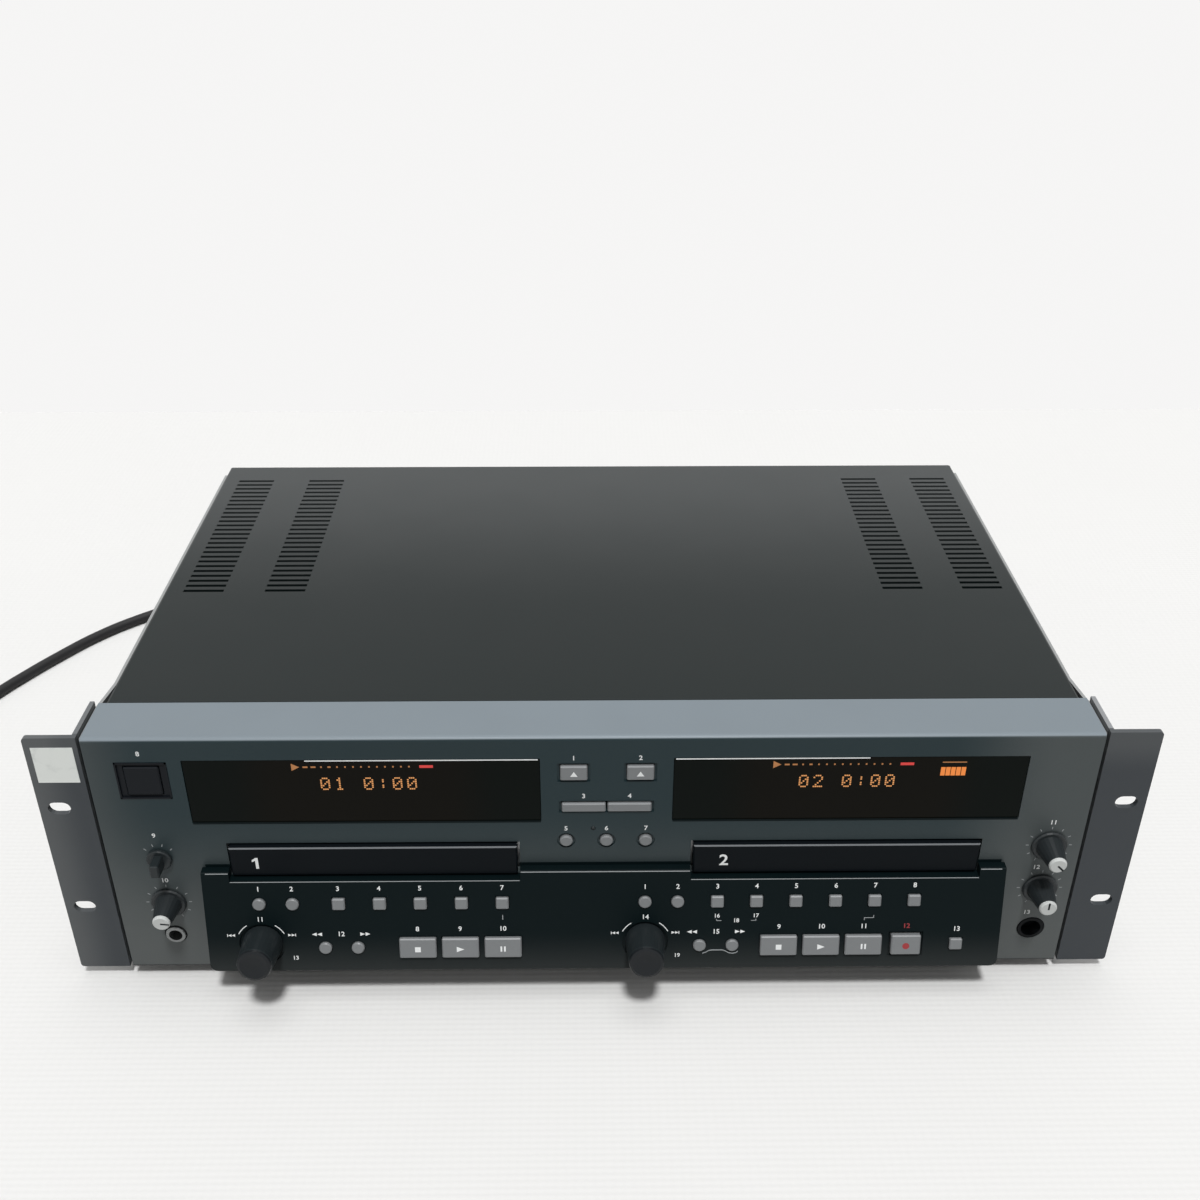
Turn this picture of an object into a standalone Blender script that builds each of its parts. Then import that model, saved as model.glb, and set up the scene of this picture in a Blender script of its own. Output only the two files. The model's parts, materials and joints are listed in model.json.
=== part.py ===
"""A rack-mounted recorder with two disc trays, built as separate pieces.

Metres, +Z up, the front faces -Y. The origin lies on the floor, in the middle of the
recorder without its cord. The case is laid out in the frame of the rack ears: X from the
middle, Y from the front of the ears to the back, Z from the underside of the case.
Names that end in share or shares hold parts of a size that the piece follows.
"""
import bmesh
import bpy
from math import atan2, ceil, cos, hypot, pi, sin, tan
from mathutils import Vector

for old in list(bpy.data.objects):
    bpy.data.objects.remove(old, do_unlink=True)

# Clearances and sheet metal
fit = 0.0003
overrun = 0.002
sheet = 0.0015
merge = 0.000001
sharp_angle = 0.6
arc_steps = 4
spline_steps = 24

# Rack sizes: a 19 inch panel, three units high
rack_width = 0.4826
rack_height = 0.1325
slot_inset = 0.00875
slot_spacing_z = 0.05715
slot_length = 0.010
slot_height = 0.0065

# Case
foot_height = 0.0055
foot_radius = 0.009
foot_edge = 0.001
foot_place_shares = ((-0.36, 0.13), (0.36, 0.13), (-0.36, 0.88), (0.36, 0.88))
ear_reach = 0.0278
case_depth = 0.2677
rear_inset = 0.0054
cover_flange = 0.012
cover_edge = 0.0012

# Side plates, bent outwards behind the ears
side_gap = 0.0008
side_flare = 0.0025
side_bend_rear = 0.045
side_bend_front = 0.027

# Rack ears
ear_thickness = 0.0025
ear_groove = 0.0020
ear_corner = 0.0015
ear_flange = 0.002
ear_flange_depth = 0.027

# Front panel
panel_overlap = 0.003
panel_proud = 0.0012
panel_thickness = 0.004
panel_lift = 0.001
panel_edge = 0.0018
strip_depth = 0.0257
strip_thickness = 0.0025

# Display windows and the lamp between them
window_gap = 0.0571
window_left_margin = 0.0377
window_right_margin = 0.0275
window_height = 0.0343
window_corner = 0.0003
window_z_share = 0.7859
lamp_radius = 0.0011
lamp_x_share = -0.0017
lamp_z_share = 0.6262

# Power switch
power_width = 0.015
power_height = 0.0146
power_frame_width = 0.0224
power_frame_height = 0.0195
power_frame_depth = 0.0014
power_inset = 0.0202
power_z_share = 0.8353
power_stand = 0.0004
power_travel = 0.003

# Keys: how far they stand out, how far they reach in and how far they travel
panel_key_stand = 0.0010
small_key_stand = 0.0013
wide_key_stand = 0.0017
key_reach = 0.003
key_travel = 0.0008
key_edge = 0.0005
pocket_spare = 0.0006
round_key = 0.0058
square_key = 0.0057
wide_key_gap = 0.0026
wide_key_pitch_share = 0.0399
wide_key_height = 0.0100
record_key_width = 0.0134
record_recess_edge = 0.0012
record_recess_depth = 0.0009

# Keys on the front panel
panel_key_reach = 0.0070
open_key_width = 0.0117
open_key_height = 0.0075
bar_key_gap = 0.00082
bar_key_x_shares = (-0.0102, 0.0311)
bar_key_height = 0.0046
bar_recess_edge = 0.0012
bar_recess_height = 0.0063
bar_recess_depth = 0.0010
bar_recess_x_share = 0.01045
open_key_z_share = 0.8589
bar_key_z_share = 0.7177
round_key_z_share = 0.5750
open_recess = 0.0012
ring_recess = 0.0012
ring_recess_depth = 0.0008

# Trays, their doors and the drives that they run in
door_overhang = 0.0006
door_height = 0.0157
door_thickness = 0.0038
door_proud = 0.0024
door_edge = 0.0006
door_gap = 0.0011
door_z_share = 0.5035
tray_x_shares = (-0.2033, 0.2222)
tray_edge = 0.0025
tray_hold = 0.028
tray_thickness = 0.0080
tray_rise = 0.0012
travel_spare = 0.0011
disc_radius = 0.0605
disc_depth = 0.0026
disc_front_gap = 0.0099
pickup_width = 0.034
pickup_length = 0.058
rail_thickness = 0.003
rail_height = 0.0180
deck_thickness = 0.002
drive_front = 0.004
drive_spare = 0.010
bridge_length = 0.030
bridge_thickness = 0.003
bridge_share = 0.55
clamp_radius = 0.016
clamp_height = 0.003
motor_radius = 0.015
motor_height = 0.018

# Slanted control panel
control_margin = 0.0341
control_x_share = 0.0089
control_top_share = 0.4694
control_ledge = 0.0040
control_low_front = 0.0125
control_low_rear = 0.0030
control_lean = 0.0104
control_corner = 0.0035
control_edge = 0.0009
upper_row_share = 0.312
lower_row_share = 0.759
dial_row_share = 0.722

# Multi dials
dial_radius = 0.0090
dial_front_radius = 0.0079
dial_well_radius = 0.0104
dial_well_depth = 0.0013
dial_length = 0.0175
dial_round = 0.0016
dial_dimple_depth = 0.0006
dial_dimple_share = 0.55
dial_x_shares = (-0.3120, 0.0467)
shaft_radius = 0.003
shaft_reach = 0.0060
shaft_spare = 0.0015

# Knobs at the sides of the front panel
knob_gap = 0.0005
knob_length = 0.0138
knob_skirt_radius = 0.0080
knob_skirt = 0.0012
knob_body_radius = 0.0061
knob_cap_radius = 0.0039
knob_round = 0.0006
selector_radius = 0.0056
selector_base = 0.0016
selector_edge = 0.0005
selector_grip_width = 0.0040
selector_grip_height = 0.0068
selector_grip_length = 0.0075
left_column_inset = 0.0202
right_column_inset = 0.0114
selector_z_share = 0.5068
level_z_share = 0.3123
input_z_share = 0.5417
balance_z_share = 0.3516

# Sockets
jack_radius = 0.0046
jack_gap = 0.0006
jack_bore = 0.0031
jack_depth = 0.0140
jack_lip = 0.0010
jack_floor = 0.0120
jack_z_share = 0.1630
din_radius = 0.0062
din_bore = 0.0046
din_depth = 0.0110
din_lip = 0.0003
din_floor = 0.0060
din_z_share = 0.1646
phono_radius = 0.0048
phono_barrel = 0.0036
phono_bore = 0.0016
phono_flange = 0.0015
phono_reach = 0.0085
phono_block_depth = 0.0090
phono_block_edge = 0.0060
phono_x_shares = (-0.10, -0.05, 0.00, 0.08, 0.13)
phono_z_shares = (0.30, 0.46)

# Boards inside
board_thickness = 0.0016
board_post_radius = 0.003
board_post_height = 0.006
front_board_gap = 0.0016
front_board_margin = 0.0305
front_board_clearance = 0.0018
rear_board_gap = 0.020
rear_board_clearance = 0.0055
supply_board_shares = (-0.40, -0.16)
main_board_shares = (-0.13, 0.40)
board_post_inset = 0.008
board_post_shares = (0.135, 0.865)
transformer_shares = (0.12, 0.52)
transformer_height = 0.046
heat_sink_shares = (0.62, 0.92)
heat_sink_height = 0.030
processor_shares = (0.30, 0.52)
processor_height = 0.003
part_depth_shares = (0.18, 0.82)

# Vents of the cover
vent_length = 0.0201
vent_width = 0.0022
vent_pitch = 0.00505
vent_first = 0.1228
vent_rear_margin = 0.0186
vent_left_insets = (0.0192, 0.0598)
vent_right_insets = (0.0583, 0.0183)

# Mains cord
cord_diameter = 0.0065
gland_x_share = -0.3520
gland_z_share = 0.2260
gland_radius = 0.0062
gland_flange_radius = 0.0090
gland_flange = 0.0030
gland_reach = 0.0260
gland_tip_radius = 0.0048
gland_inside = 0.0040
plug_length = 0.036
plug_width = 0.026
plug_neck_width = 0.012
plug_edge = 0.003
blade_spacing = 0.0127
blade_width = 0.0063
blade_thickness = 0.0015
blade_length = 0.017

# Coil beside the view: it spirals in on the floor, climbs, and spirals out on top
coil_turns = 3
coil_points = 24
coil_mid_radius = 0.0385
coil_pitch_gap = 0.0006
coil_layer_gap = 0.0005
coil_centre = (-0.4345, 0.0350)
coil_lead = 0.0080
coil_tail = 0.0440

# Route of the cord over the floor to the coil, in metres
cord_route = (
    (-0.1702, 0.1950, 0.0338),
    (-0.1722, 0.2080, 0.0275),
    (-0.1780, 0.2200, 0.0165),
    (-0.1890, 0.2310, 0.0070),
    (-0.2060, 0.2390, 0.00325),
    (-0.2300, 0.2380, 0.00325),
    (-0.2560, 0.2280, 0.00325),
    (-0.2830, 0.2130, 0.00325),
    (-0.3050, 0.1970, 0.00325),
    (-0.3255, 0.1765, 0.00325),
    (-0.3430, 0.1520, 0.00325),
    (-0.3560, 0.1310, 0.00325),
    (-0.3670, 0.1110, 0.00325),
    (-0.3770, 0.0880, 0.00325),
)

# Sizes worked out from those above
case_half_width = rack_width / 2 - ear_reach
slot_x = rack_width / 2 - slot_inset
slot_low_z = rack_height / 2 - slot_spacing_z / 2
window_left_x = window_left_margin - case_half_width
window_right_x = case_half_width - window_right_margin
window_width = (window_right_x - window_left_x - window_gap) / 2
window_middles = (window_left_x + window_width / 2, window_right_x - window_width / 2)
left_column = left_column_inset - case_half_width
right_column = case_half_width - right_column_inset
vent_rows_length = case_depth - vent_rear_margin - vent_first
vent_count = int(vent_rows_length / vent_pitch) + 1
wide_key_pitch = wide_key_pitch_share * rack_width
wide_key_width = wide_key_pitch - wide_key_gap
bar_key_pitch = (bar_key_x_shares[1] - bar_key_x_shares[0]) * rack_width
bar_key_width = bar_key_pitch - bar_key_gap
bar_recess_width = bar_key_pitch + bar_key_width + 2 * bar_recess_edge
tray_width = 2 * (disc_radius + tray_edge)
door_width = tray_width + 2 * door_overhang
disc_middle = disc_front_gap + disc_radius
tray_travel = disc_middle + disc_radius + travel_spare
control_width = 2 * (case_half_width - control_margin)
control_top = control_top_share * rack_height
coil_pitch = cord_diameter + coil_pitch_gap
coil_layer = cord_diameter + coil_layer_gap
panel_half_width = case_half_width + panel_overlap
panel_front = -panel_proud
panel_rear = panel_front + panel_thickness
ear_inner = panel_half_width + ear_groove
side_inner = case_half_width + side_gap
side_flared = side_inner + side_flare
flange_inner = side_flared + sheet + fit
wall_head = rack_height - strip_thickness
rear_face = case_depth - rear_inset
control_middle = control_x_share * rack_width
control_rear = panel_front - fit
control_edge_y = control_rear - control_ledge
control_fall = control_top - control_low_front
control_slant = atan2(control_lean, control_fall)
control_face_length = hypot(control_lean, control_fall)
door_middle_z = door_z_share * rack_height
door_low = door_middle_z - door_height / 2
door_front = panel_front - door_proud
door_rear = door_front + door_thickness
mouth_low = door_low - door_gap
mouth_half_width = door_width / 2 + door_gap
tray_low = door_low + tray_rise
tray_front = door_rear + fit
tray_length = tray_travel + tray_hold
drive_depth = tray_length + drive_spare
power_reach = panel_thickness + power_travel
pocket_depth = key_reach + key_travel + pocket_spare
shaft_hole_depth = shaft_reach + shaft_spare
rear_board_front = drive_front + drive_depth + rear_board_gap
rear_board_rear = rear_face - sheet - rear_board_clearance
rear_board_depth = rear_board_rear - rear_board_front
rail_top = tray_low - fit + rail_height
dial_base_y = control_edge_y - dial_row_share * control_face_length * sin(control_slant)
dial_back = dial_well_depth - fit
front_reach = (
    -dial_base_y
    + dial_length * cos(control_slant)
    + (dial_front_radius - dial_round) * sin(control_slant)
)
rear_reach = rear_face + phono_reach
ear_front_y = (front_reach - rear_reach) / 2
cord_radius = cord_diameter / 2

# Keys by name, kind, place across and place upward or down the slanted face
key_sizes = {
    "round": (round_key, round_key),
    "square": (square_key, square_key),
    "wide": (wide_key_width, wide_key_height),
    "record": (record_key_width, wide_key_height),
    "open": (open_key_width, open_key_height),
    "bar": (bar_key_width, bar_key_height),
    "power": (power_width, power_height),
}

round_panel_key_shares = (-0.0264, 0.0104, 0.0463)
panel_key_shares = (
    ("open_key_1", "open", -0.0188, open_key_z_share),
    ("open_key_2", "open", 0.0404, open_key_z_share),
    ("bar_key_left", "bar", bar_key_x_shares[0], bar_key_z_share),
    ("bar_key_right", "bar", bar_key_x_shares[1], bar_key_z_share),
    ("display_key_1", "round", round_panel_key_shares[0], round_key_z_share),
    ("repeat_key", "round", round_panel_key_shares[1], round_key_z_share),
    ("display_key_2", "round", round_panel_key_shares[2], round_key_z_share),
)

record_key_x_share = 0.2920
left_play_x_share = -0.1264
right_play_x_share = 0.2121
control_key_shares = (
    ("left_round_key_1", "round", -0.3116, upper_row_share),
    ("left_round_key_2", "round", -0.2808, upper_row_share),
    ("left_square_key_1", "square", -0.2381, upper_row_share),
    ("left_square_key_2", "square", -0.2001, upper_row_share),
    ("left_square_key_3", "square", -0.1623, upper_row_share),
    ("left_square_key_4", "square", -0.1242, upper_row_share),
    ("left_square_key_5", "square", -0.0863, upper_row_share),
    ("left_search_back_key", "round", -0.2530, lower_row_share),
    ("left_search_forward_key", "round", -0.2225, lower_row_share),
    ("left_stop_key", "wide", left_play_x_share - wide_key_pitch_share, lower_row_share),
    ("left_play_key", "wide", left_play_x_share, lower_row_share),
    ("left_pause_key", "wide", left_play_x_share + wide_key_pitch_share, lower_row_share),
    ("right_round_key_1", "round", 0.0463, upper_row_share),
    ("right_round_key_2", "round", 0.0767, upper_row_share),
    ("right_square_key_1", "square", 0.1136, upper_row_share),
    ("right_square_key_2", "square", 0.1500, upper_row_share),
    ("right_square_key_3", "square", 0.1867, upper_row_share),
    ("right_square_key_4", "square", 0.2236, upper_row_share),
    ("right_square_key_5", "square", 0.2602, upper_row_share),
    ("right_square_key_6", "square", 0.2970, upper_row_share),
    ("right_search_back_key", "round", 0.0979, lower_row_share),
    ("right_search_forward_key", "round", 0.1286, lower_row_share),
    ("right_stop_key", "wide", right_play_x_share - wide_key_pitch_share, lower_row_share),
    ("right_play_key", "wide", right_play_x_share, lower_row_share),
    ("right_pause_key", "wide", right_play_x_share + wide_key_pitch_share, lower_row_share),
    ("record_key", "record", record_key_x_share, lower_row_share),
    ("input_key", "square", 0.3394, lower_row_share),
)

# Knobs by name, with their places across and upward
side_knob_places = (
    ("phones_selector", left_column, selector_z_share * rack_height),
    ("level_knob", left_column, level_z_share * rack_height),
    ("input_knob", right_column, input_z_share * rack_height),
    ("balance_knob", right_column, balance_z_share * rack_height),
)


# Finishes
def finish(name, colour, roughness, metallic=0.0):
    made = bpy.data.materials.new(name)
    made.use_nodes = True
    shader = made.node_tree.nodes["Principled BSDF"]
    shader.inputs["Base Color"].default_value = (*colour, 1.0)
    shader.inputs["Roughness"].default_value = roughness
    shader.inputs["Metallic"].default_value = metallic
    return made


panel_paint = finish("panel_paint", (0.070, 0.082, 0.086), 0.45, 0.2)
cover_paint = finish("cover_paint", (0.042, 0.047, 0.048), 0.50)
case_paint = finish("case_paint", (0.19, 0.20, 0.20), 0.45, 0.3)
black_plastic = finish("black_plastic", (0.012, 0.017, 0.019), 0.35)
key_plastic = finish("key_plastic", (0.30, 0.31, 0.32), 0.45)
knob_plastic = finish("knob_plastic", (0.040, 0.045, 0.047), 0.40)
window_plastic = finish("window_plastic", (0.010, 0.012, 0.010), 0.08)
bare_steel = finish("bare_steel", (0.55, 0.56, 0.57), 0.35, 1.0)
board_green = finish("board_green", (0.03, 0.16, 0.07), 0.50)
cord_rubber = finish("cord_rubber", (0.012, 0.012, 0.013), 0.55)


# Frames that the pieces are placed in
def frame_empty(name, place, slant=0.0, parent=None):
    empty = bpy.data.objects.new(name, None)
    bpy.context.scene.collection.objects.link(empty)
    empty.location = place
    empty.rotation_euler = (-slant, 0, 0)
    empty.parent = parent
    return empty


case_frame = frame_empty("case_frame", (0, ear_front_y, foot_height))
control_frame = frame_empty(
    "control_frame", (0, control_edge_y, control_top), control_slant, case_frame
)


# Helpers that make shapes
def put(name, bm, material, parent=case_frame, place=(0, 0, 0)):
    bmesh.ops.recalc_face_normals(bm, faces=bm.faces)
    mesh = bpy.data.meshes.new(name)
    bm.to_mesh(mesh)
    bm.free()
    mesh.shade_smooth()
    mesh.set_sharp_from_angle(angle=sharp_angle)
    mesh.materials.append(material)
    made = bpy.data.objects.new(name, mesh)
    bpy.context.scene.collection.objects.link(made)
    made.parent = parent
    made.location = place
    return made


def combine(target, bm, name, operation="DIFFERENCE", parent=case_frame, place=(0, 0, 0)):
    tool = put(name, bm, target.data.materials[0], parent, place)
    tool.hide_render = True
    tool.display_type = "WIRE"
    boolean = target.modifiers.new(name, "BOOLEAN")
    boolean.operation = operation
    boolean.solver = "EXACT"
    boolean.object = tool


def slab(bm, low, high):
    low = Vector(low)
    high = Vector(high)
    corners = bmesh.ops.create_cube(bm, size=1)["verts"]
    bmesh.ops.scale(bm, vec=high - low, verts=corners)
    bmesh.ops.translate(bm, vec=(low + high) / 2, verts=corners)


def prism(bm, outline, start, end, along):
    if along == "x":
        points = [(start, a, b) for a, b in outline]
        shift = (end - start, 0, 0)
    elif along == "y":
        points = [(a, start, b) for a, b in outline]
        shift = (0, end - start, 0)
    else:
        points = [(a, b, start) for a, b in outline]
        shift = (0, 0, end - start)
    corners = [bm.verts.new(point) for point in points]
    face = bm.faces.new(corners)
    grown = bmesh.ops.extrude_face_region(bm, geom=[face])["geom"]
    moved = [item for item in grown if isinstance(item, bmesh.types.BMVert)]
    bmesh.ops.translate(bm, vec=shift, verts=moved)


def rounded(corners, steps=3):
    """Outline through corners of the form (a, b, radius), with arcs at the corners."""
    outline = []
    for index, (a, b, radius) in enumerate(corners):
        corner = Vector((a, b))
        if radius == 0:
            outline.append(corner)
            continue
        before = Vector(corners[index - 1][:2]) - corner
        after = Vector(corners[(index + 1) % len(corners)][:2]) - corner
        before.normalize()
        after.normalize()
        half = before.angle(after) / 2
        middle = corner + (before + after).normalized() * radius / sin(half)
        start = corner + before * radius / tan(half) - middle
        end = corner + after * radius / tan(half) - middle
        turn = start.angle_signed(end)
        for step in range(steps + 1):
            angle = -turn * step / steps
            spoke = Vector(
                (
                    start.x * cos(angle) - start.y * sin(angle),
                    start.x * sin(angle) + start.y * cos(angle),
                )
            )
            outline.append(middle + spoke)
    clean = []
    for point in outline:
        if not clean or (point - clean[-1]).length > merge:
            clean.append(point)
    if (clean[0] - clean[-1]).length <= merge:
        clean.pop()
    return clean


def round_box(width, height, radius, middle=(0, 0), steps=3):
    a, b = middle
    return rounded(
        (
            (a - width / 2, b - height / 2, radius),
            (a + width / 2, b - height / 2, radius),
            (a + width / 2, b + height / 2, radius),
            (a - width / 2, b + height / 2, radius),
        ),
        steps,
    )


def turned(bm, profile, steps, middle=(0, 0, 0), axis="y"):
    """Closed round solid; the profile holds (radius, place along the axis)."""
    known = set(bm.verts)
    chain = [bm.verts.new((radius, along, 0)) for radius, along in profile]
    edges = [bm.edges.new(pair) for pair in zip(chain, chain[1:])]
    bmesh.ops.spin(
        bm,
        geom=chain + edges,
        cent=(0, 0, 0),
        axis=(0, 1, 0),
        angle=2 * pi,
        steps=steps,
        use_merge=True,
    )
    made = [vert for vert in bm.verts if vert not in known]
    bmesh.ops.remove_doubles(bm, verts=made, dist=merge)
    made = [vert for vert in bm.verts if vert not in known]
    if axis == "z":
        for vert in made:
            vert.co = Vector((vert.co.x, -vert.co.z, vert.co.y))
    bmesh.ops.translate(bm, vec=middle, verts=made)


def rod(bm, radius, start, end, steps, middle=(0, 0, 0), axis="y"):
    turned(bm, ((0, start), (radius, start), (radius, end), (0, end)), steps, middle, axis)


def soften(bm, edges, width, segments=1):
    bmesh.ops.bevel(
        bm,
        geom=edges,
        offset=width,
        segments=segments,
        profile=0.5,
        affect="EDGES",
        clamp_overlap=True,
    )


def front_edges(bm):
    return [edge for edge in bm.edges if min(vert.co.y for vert in edge.verts) < 0]


def across(share):
    return share * rack_width


def upward(share):
    return share * rack_height


# Chassis pan: floor, feet, rear wall, and side walls bent outwards behind the ears
def pan_plan(outward, front, rear):
    """Plan of the pan, moved outward from the inner faces of its side walls."""
    right = [
        (side_flared + outward, front),
        (side_flared + outward, side_bend_front),
        (side_inner + outward, side_bend_rear),
        (side_inner + outward, rear),
    ]
    left = [(-x, y) for x, y in reversed(right)]
    return right + left


def chassis_pan():
    front = ear_thickness + fit
    bm = bmesh.new()
    prism(bm, pan_plan(sheet, front, rear_face), 0, wall_head, "z")
    pan = put("chassis_pan", bm, case_paint)
    bm = bmesh.new()
    prism(bm, pan_plan(0, front - overrun, rear_face - sheet), sheet, wall_head + overrun, "z")
    combine(pan, bm, "pan_hollow")
    bm = bmesh.new()
    wall_start = rear_face - sheet - overrun
    wall_end = rear_face + overrun
    for x_share in phono_x_shares:
        for z_share in phono_z_shares:
            place = (across(x_share), 0, upward(z_share))
            rod(bm, phono_barrel + fit, wall_start, wall_end, 12, place)
    gland_place = (across(gland_x_share), 0, upward(gland_z_share))
    rod(bm, gland_radius + fit, wall_start, wall_end, 16, gland_place)
    combine(pan, bm, "rear_wall_holes")
    bm = bmesh.new()
    profile = (
        (0, -foot_height),
        (foot_radius - foot_edge, -foot_height),
        (foot_radius, foot_edge - foot_height),
        (foot_radius, sheet / 2),
        (0, sheet / 2),
    )
    for x_share, y_share in foot_place_shares:
        turned(bm, profile, 16, (across(x_share), y_share * case_depth, 0), "z")
    combine(pan, bm, "feet", "UNION")


# Top cover with four columns of vents
def top_cover():
    bm = bmesh.new()
    start = strip_depth + fit
    low = rack_height - cover_flange
    slab(bm, (-case_half_width, start, low), (case_half_width, case_depth, rack_height))
    ridge = [edge for edge in bm.edges if all(vert.co.z > low for vert in edge.verts)]
    sides = [edge for edge in ridge if edge.verts[0].co.x == edge.verts[1].co.x]
    soften(bm, sides, cover_edge, 2)
    cover = put("top_cover", bm, cover_paint)
    bm = bmesh.new()
    inner = case_half_width - sheet
    slab(
        bm,
        (-inner, start - overrun, low - overrun),
        (inner, case_depth + overrun, rack_height - sheet),
    )
    combine(cover, bm, "cover_hollow")
    bm = bmesh.new()
    flange_end = rear_face - sheet - fit
    slab(
        bm,
        (-case_half_width - overrun, flange_end, low - overrun),
        (case_half_width + overrun, case_depth + overrun, rack_height - sheet),
    )
    combine(cover, bm, "cover_rear_clearance")
    bm = bmesh.new()
    middles = [inset - case_half_width for inset in vent_left_insets]
    middles += [case_half_width - inset for inset in vent_right_insets]
    for middle in middles:
        for index in range(vent_count):
            y = vent_first + index * vent_pitch
            slab(
                bm,
                (middle - vent_length / 2, y - vent_width / 2, rack_height - sheet - overrun),
                (middle + vent_length / 2, y + vent_width / 2, rack_height + overrun),
            )
    combine(cover, bm, "cover_vents")


# Rack ears with two slots each
def rack_ear(name, side):
    bm = bmesh.new()
    outer = rack_width / 2
    outline = (
        (side * ear_inner, 0),
        (side * outer, 0),
        (side * outer, ear_thickness),
        (side * (flange_inner + ear_flange), ear_thickness),
        (side * (flange_inner + ear_flange), ear_flange_depth),
        (side * flange_inner, ear_flange_depth),
        (side * flange_inner, ear_thickness),
        (side * ear_inner, ear_thickness),
    )
    prism(bm, outline, 0, rack_height, "z")
    tips = []
    for edge in bm.edges:
        ends = [vert.co for vert in edge.verts]
        level = abs(ends[0].z - ends[1].z) < merge
        if level and all(abs(abs(end.x) - outer) < merge for end in ends):
            tips.append(edge)
    soften(bm, tips, ear_corner, 3)
    ear = put(name, bm, panel_paint)
    bm = bmesh.new()
    middle = side * slot_x
    for z in (slot_low_z, slot_low_z + slot_spacing_z):
        outline = round_box(slot_length, slot_height, slot_height / 2, (middle, z), 4)
        prism(bm, outline, -overrun, ear_thickness + overrun, "y")
    combine(ear, bm, name + "_slots")


# Front panel: a plate with a strip that turns back over the top
def front_panel():
    bm = bmesh.new()
    outline = rounded(
        (
            (panel_front, panel_lift, panel_edge / 2),
            (panel_rear, panel_lift, 0),
            (panel_rear, rack_height - strip_thickness, 0),
            (strip_depth, rack_height - strip_thickness, 0),
            (strip_depth, rack_height, 0),
            (panel_front, rack_height, panel_edge),
        )
    )
    prism(bm, outline, -panel_half_width, panel_half_width, "x")
    panel = put("front_panel", bm, panel_paint)
    through = panel_rear + overrun
    front = panel_front - overrun

    bm = bmesh.new()
    for middle in window_middles:
        place = (middle, upward(window_z_share))
        outline = round_box(window_width, window_height, window_corner, place, 1)
        prism(bm, outline, front, through, "y")
    for share in tray_x_shares:
        middle = across(share)
        slab(
            bm,
            (middle - mouth_half_width, front, mouth_low),
            (middle + mouth_half_width, through, door_low + door_height + door_gap),
        )
    frame = (power_frame_width / 2, power_frame_height / 2)
    x, z = power_inset - case_half_width, upward(power_z_share)
    slab(
        bm,
        (x - frame[0], front, z - frame[1]),
        (x + frame[0], panel_front + power_frame_depth, z + frame[1]),
    )
    x, z = across(bar_recess_x_share), upward(bar_key_z_share)
    slab(
        bm,
        (x - bar_recess_width / 2, front, z - bar_recess_height / 2),
        (x + bar_recess_width / 2, panel_front + bar_recess_depth, z + bar_recess_height / 2),
    )
    floor = panel_front + ring_recess_depth
    for name, kind, x_share, z_share in panel_key_shares:
        x, z = across(x_share), upward(z_share)
        if kind == "round":
            rod(bm, round_key / 2 + ring_recess, front, floor, 20, (x, 0, z))
        elif kind == "open":
            wide = open_key_width / 2 + open_recess
            tall = open_key_height / 2 + open_recess
            slab(bm, (x - wide, front, z - tall), (x + wide, floor, z + tall))
    combine(panel, bm, "panel_recesses")

    bm = bmesh.new()
    for name, kind, x_share, z_share in panel_key_shares:
        width, height = key_sizes[kind]
        middle = (across(x_share), 0, upward(z_share))
        if kind == "round":
            rod(bm, width / 2 + fit, front, through, 16, middle)
        elif kind != "bar":
            slab(
                bm,
                (middle[0] - width / 2 - fit, front, middle[2] - height / 2 - fit),
                (middle[0] + width / 2 + fit, through, middle[2] + height / 2 + fit),
            )
    x, z = power_inset - case_half_width, upward(power_z_share)
    slab(
        bm,
        (x - power_width / 2 - fit, front, z - power_height / 2 - fit),
        (x + power_width / 2 + fit, through, z + power_height / 2 + fit),
    )
    middle = upward(bar_key_z_share)
    wide = bar_key_width / 2 + fit
    tall = bar_key_height / 2 + fit
    slab(
        bm,
        (across(bar_key_x_shares[0]) - wide, front, middle - tall),
        (across(bar_key_x_shares[1]) + wide, through, middle + tall),
    )
    rod(bm, lamp_radius, front, through, 10, (across(lamp_x_share), 0, upward(lamp_z_share)))
    for name, x, z in side_knob_places:
        rod(bm, shaft_radius + fit, front, through, 14, (x, 0, z))
    rod(bm, jack_radius + jack_gap, front, through, 16, (left_column, 0, upward(jack_z_share)))
    rod(bm, din_radius + fit, front, through, 20, (right_column, 0, upward(din_z_share)))
    combine(panel, bm, "panel_holes")


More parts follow.
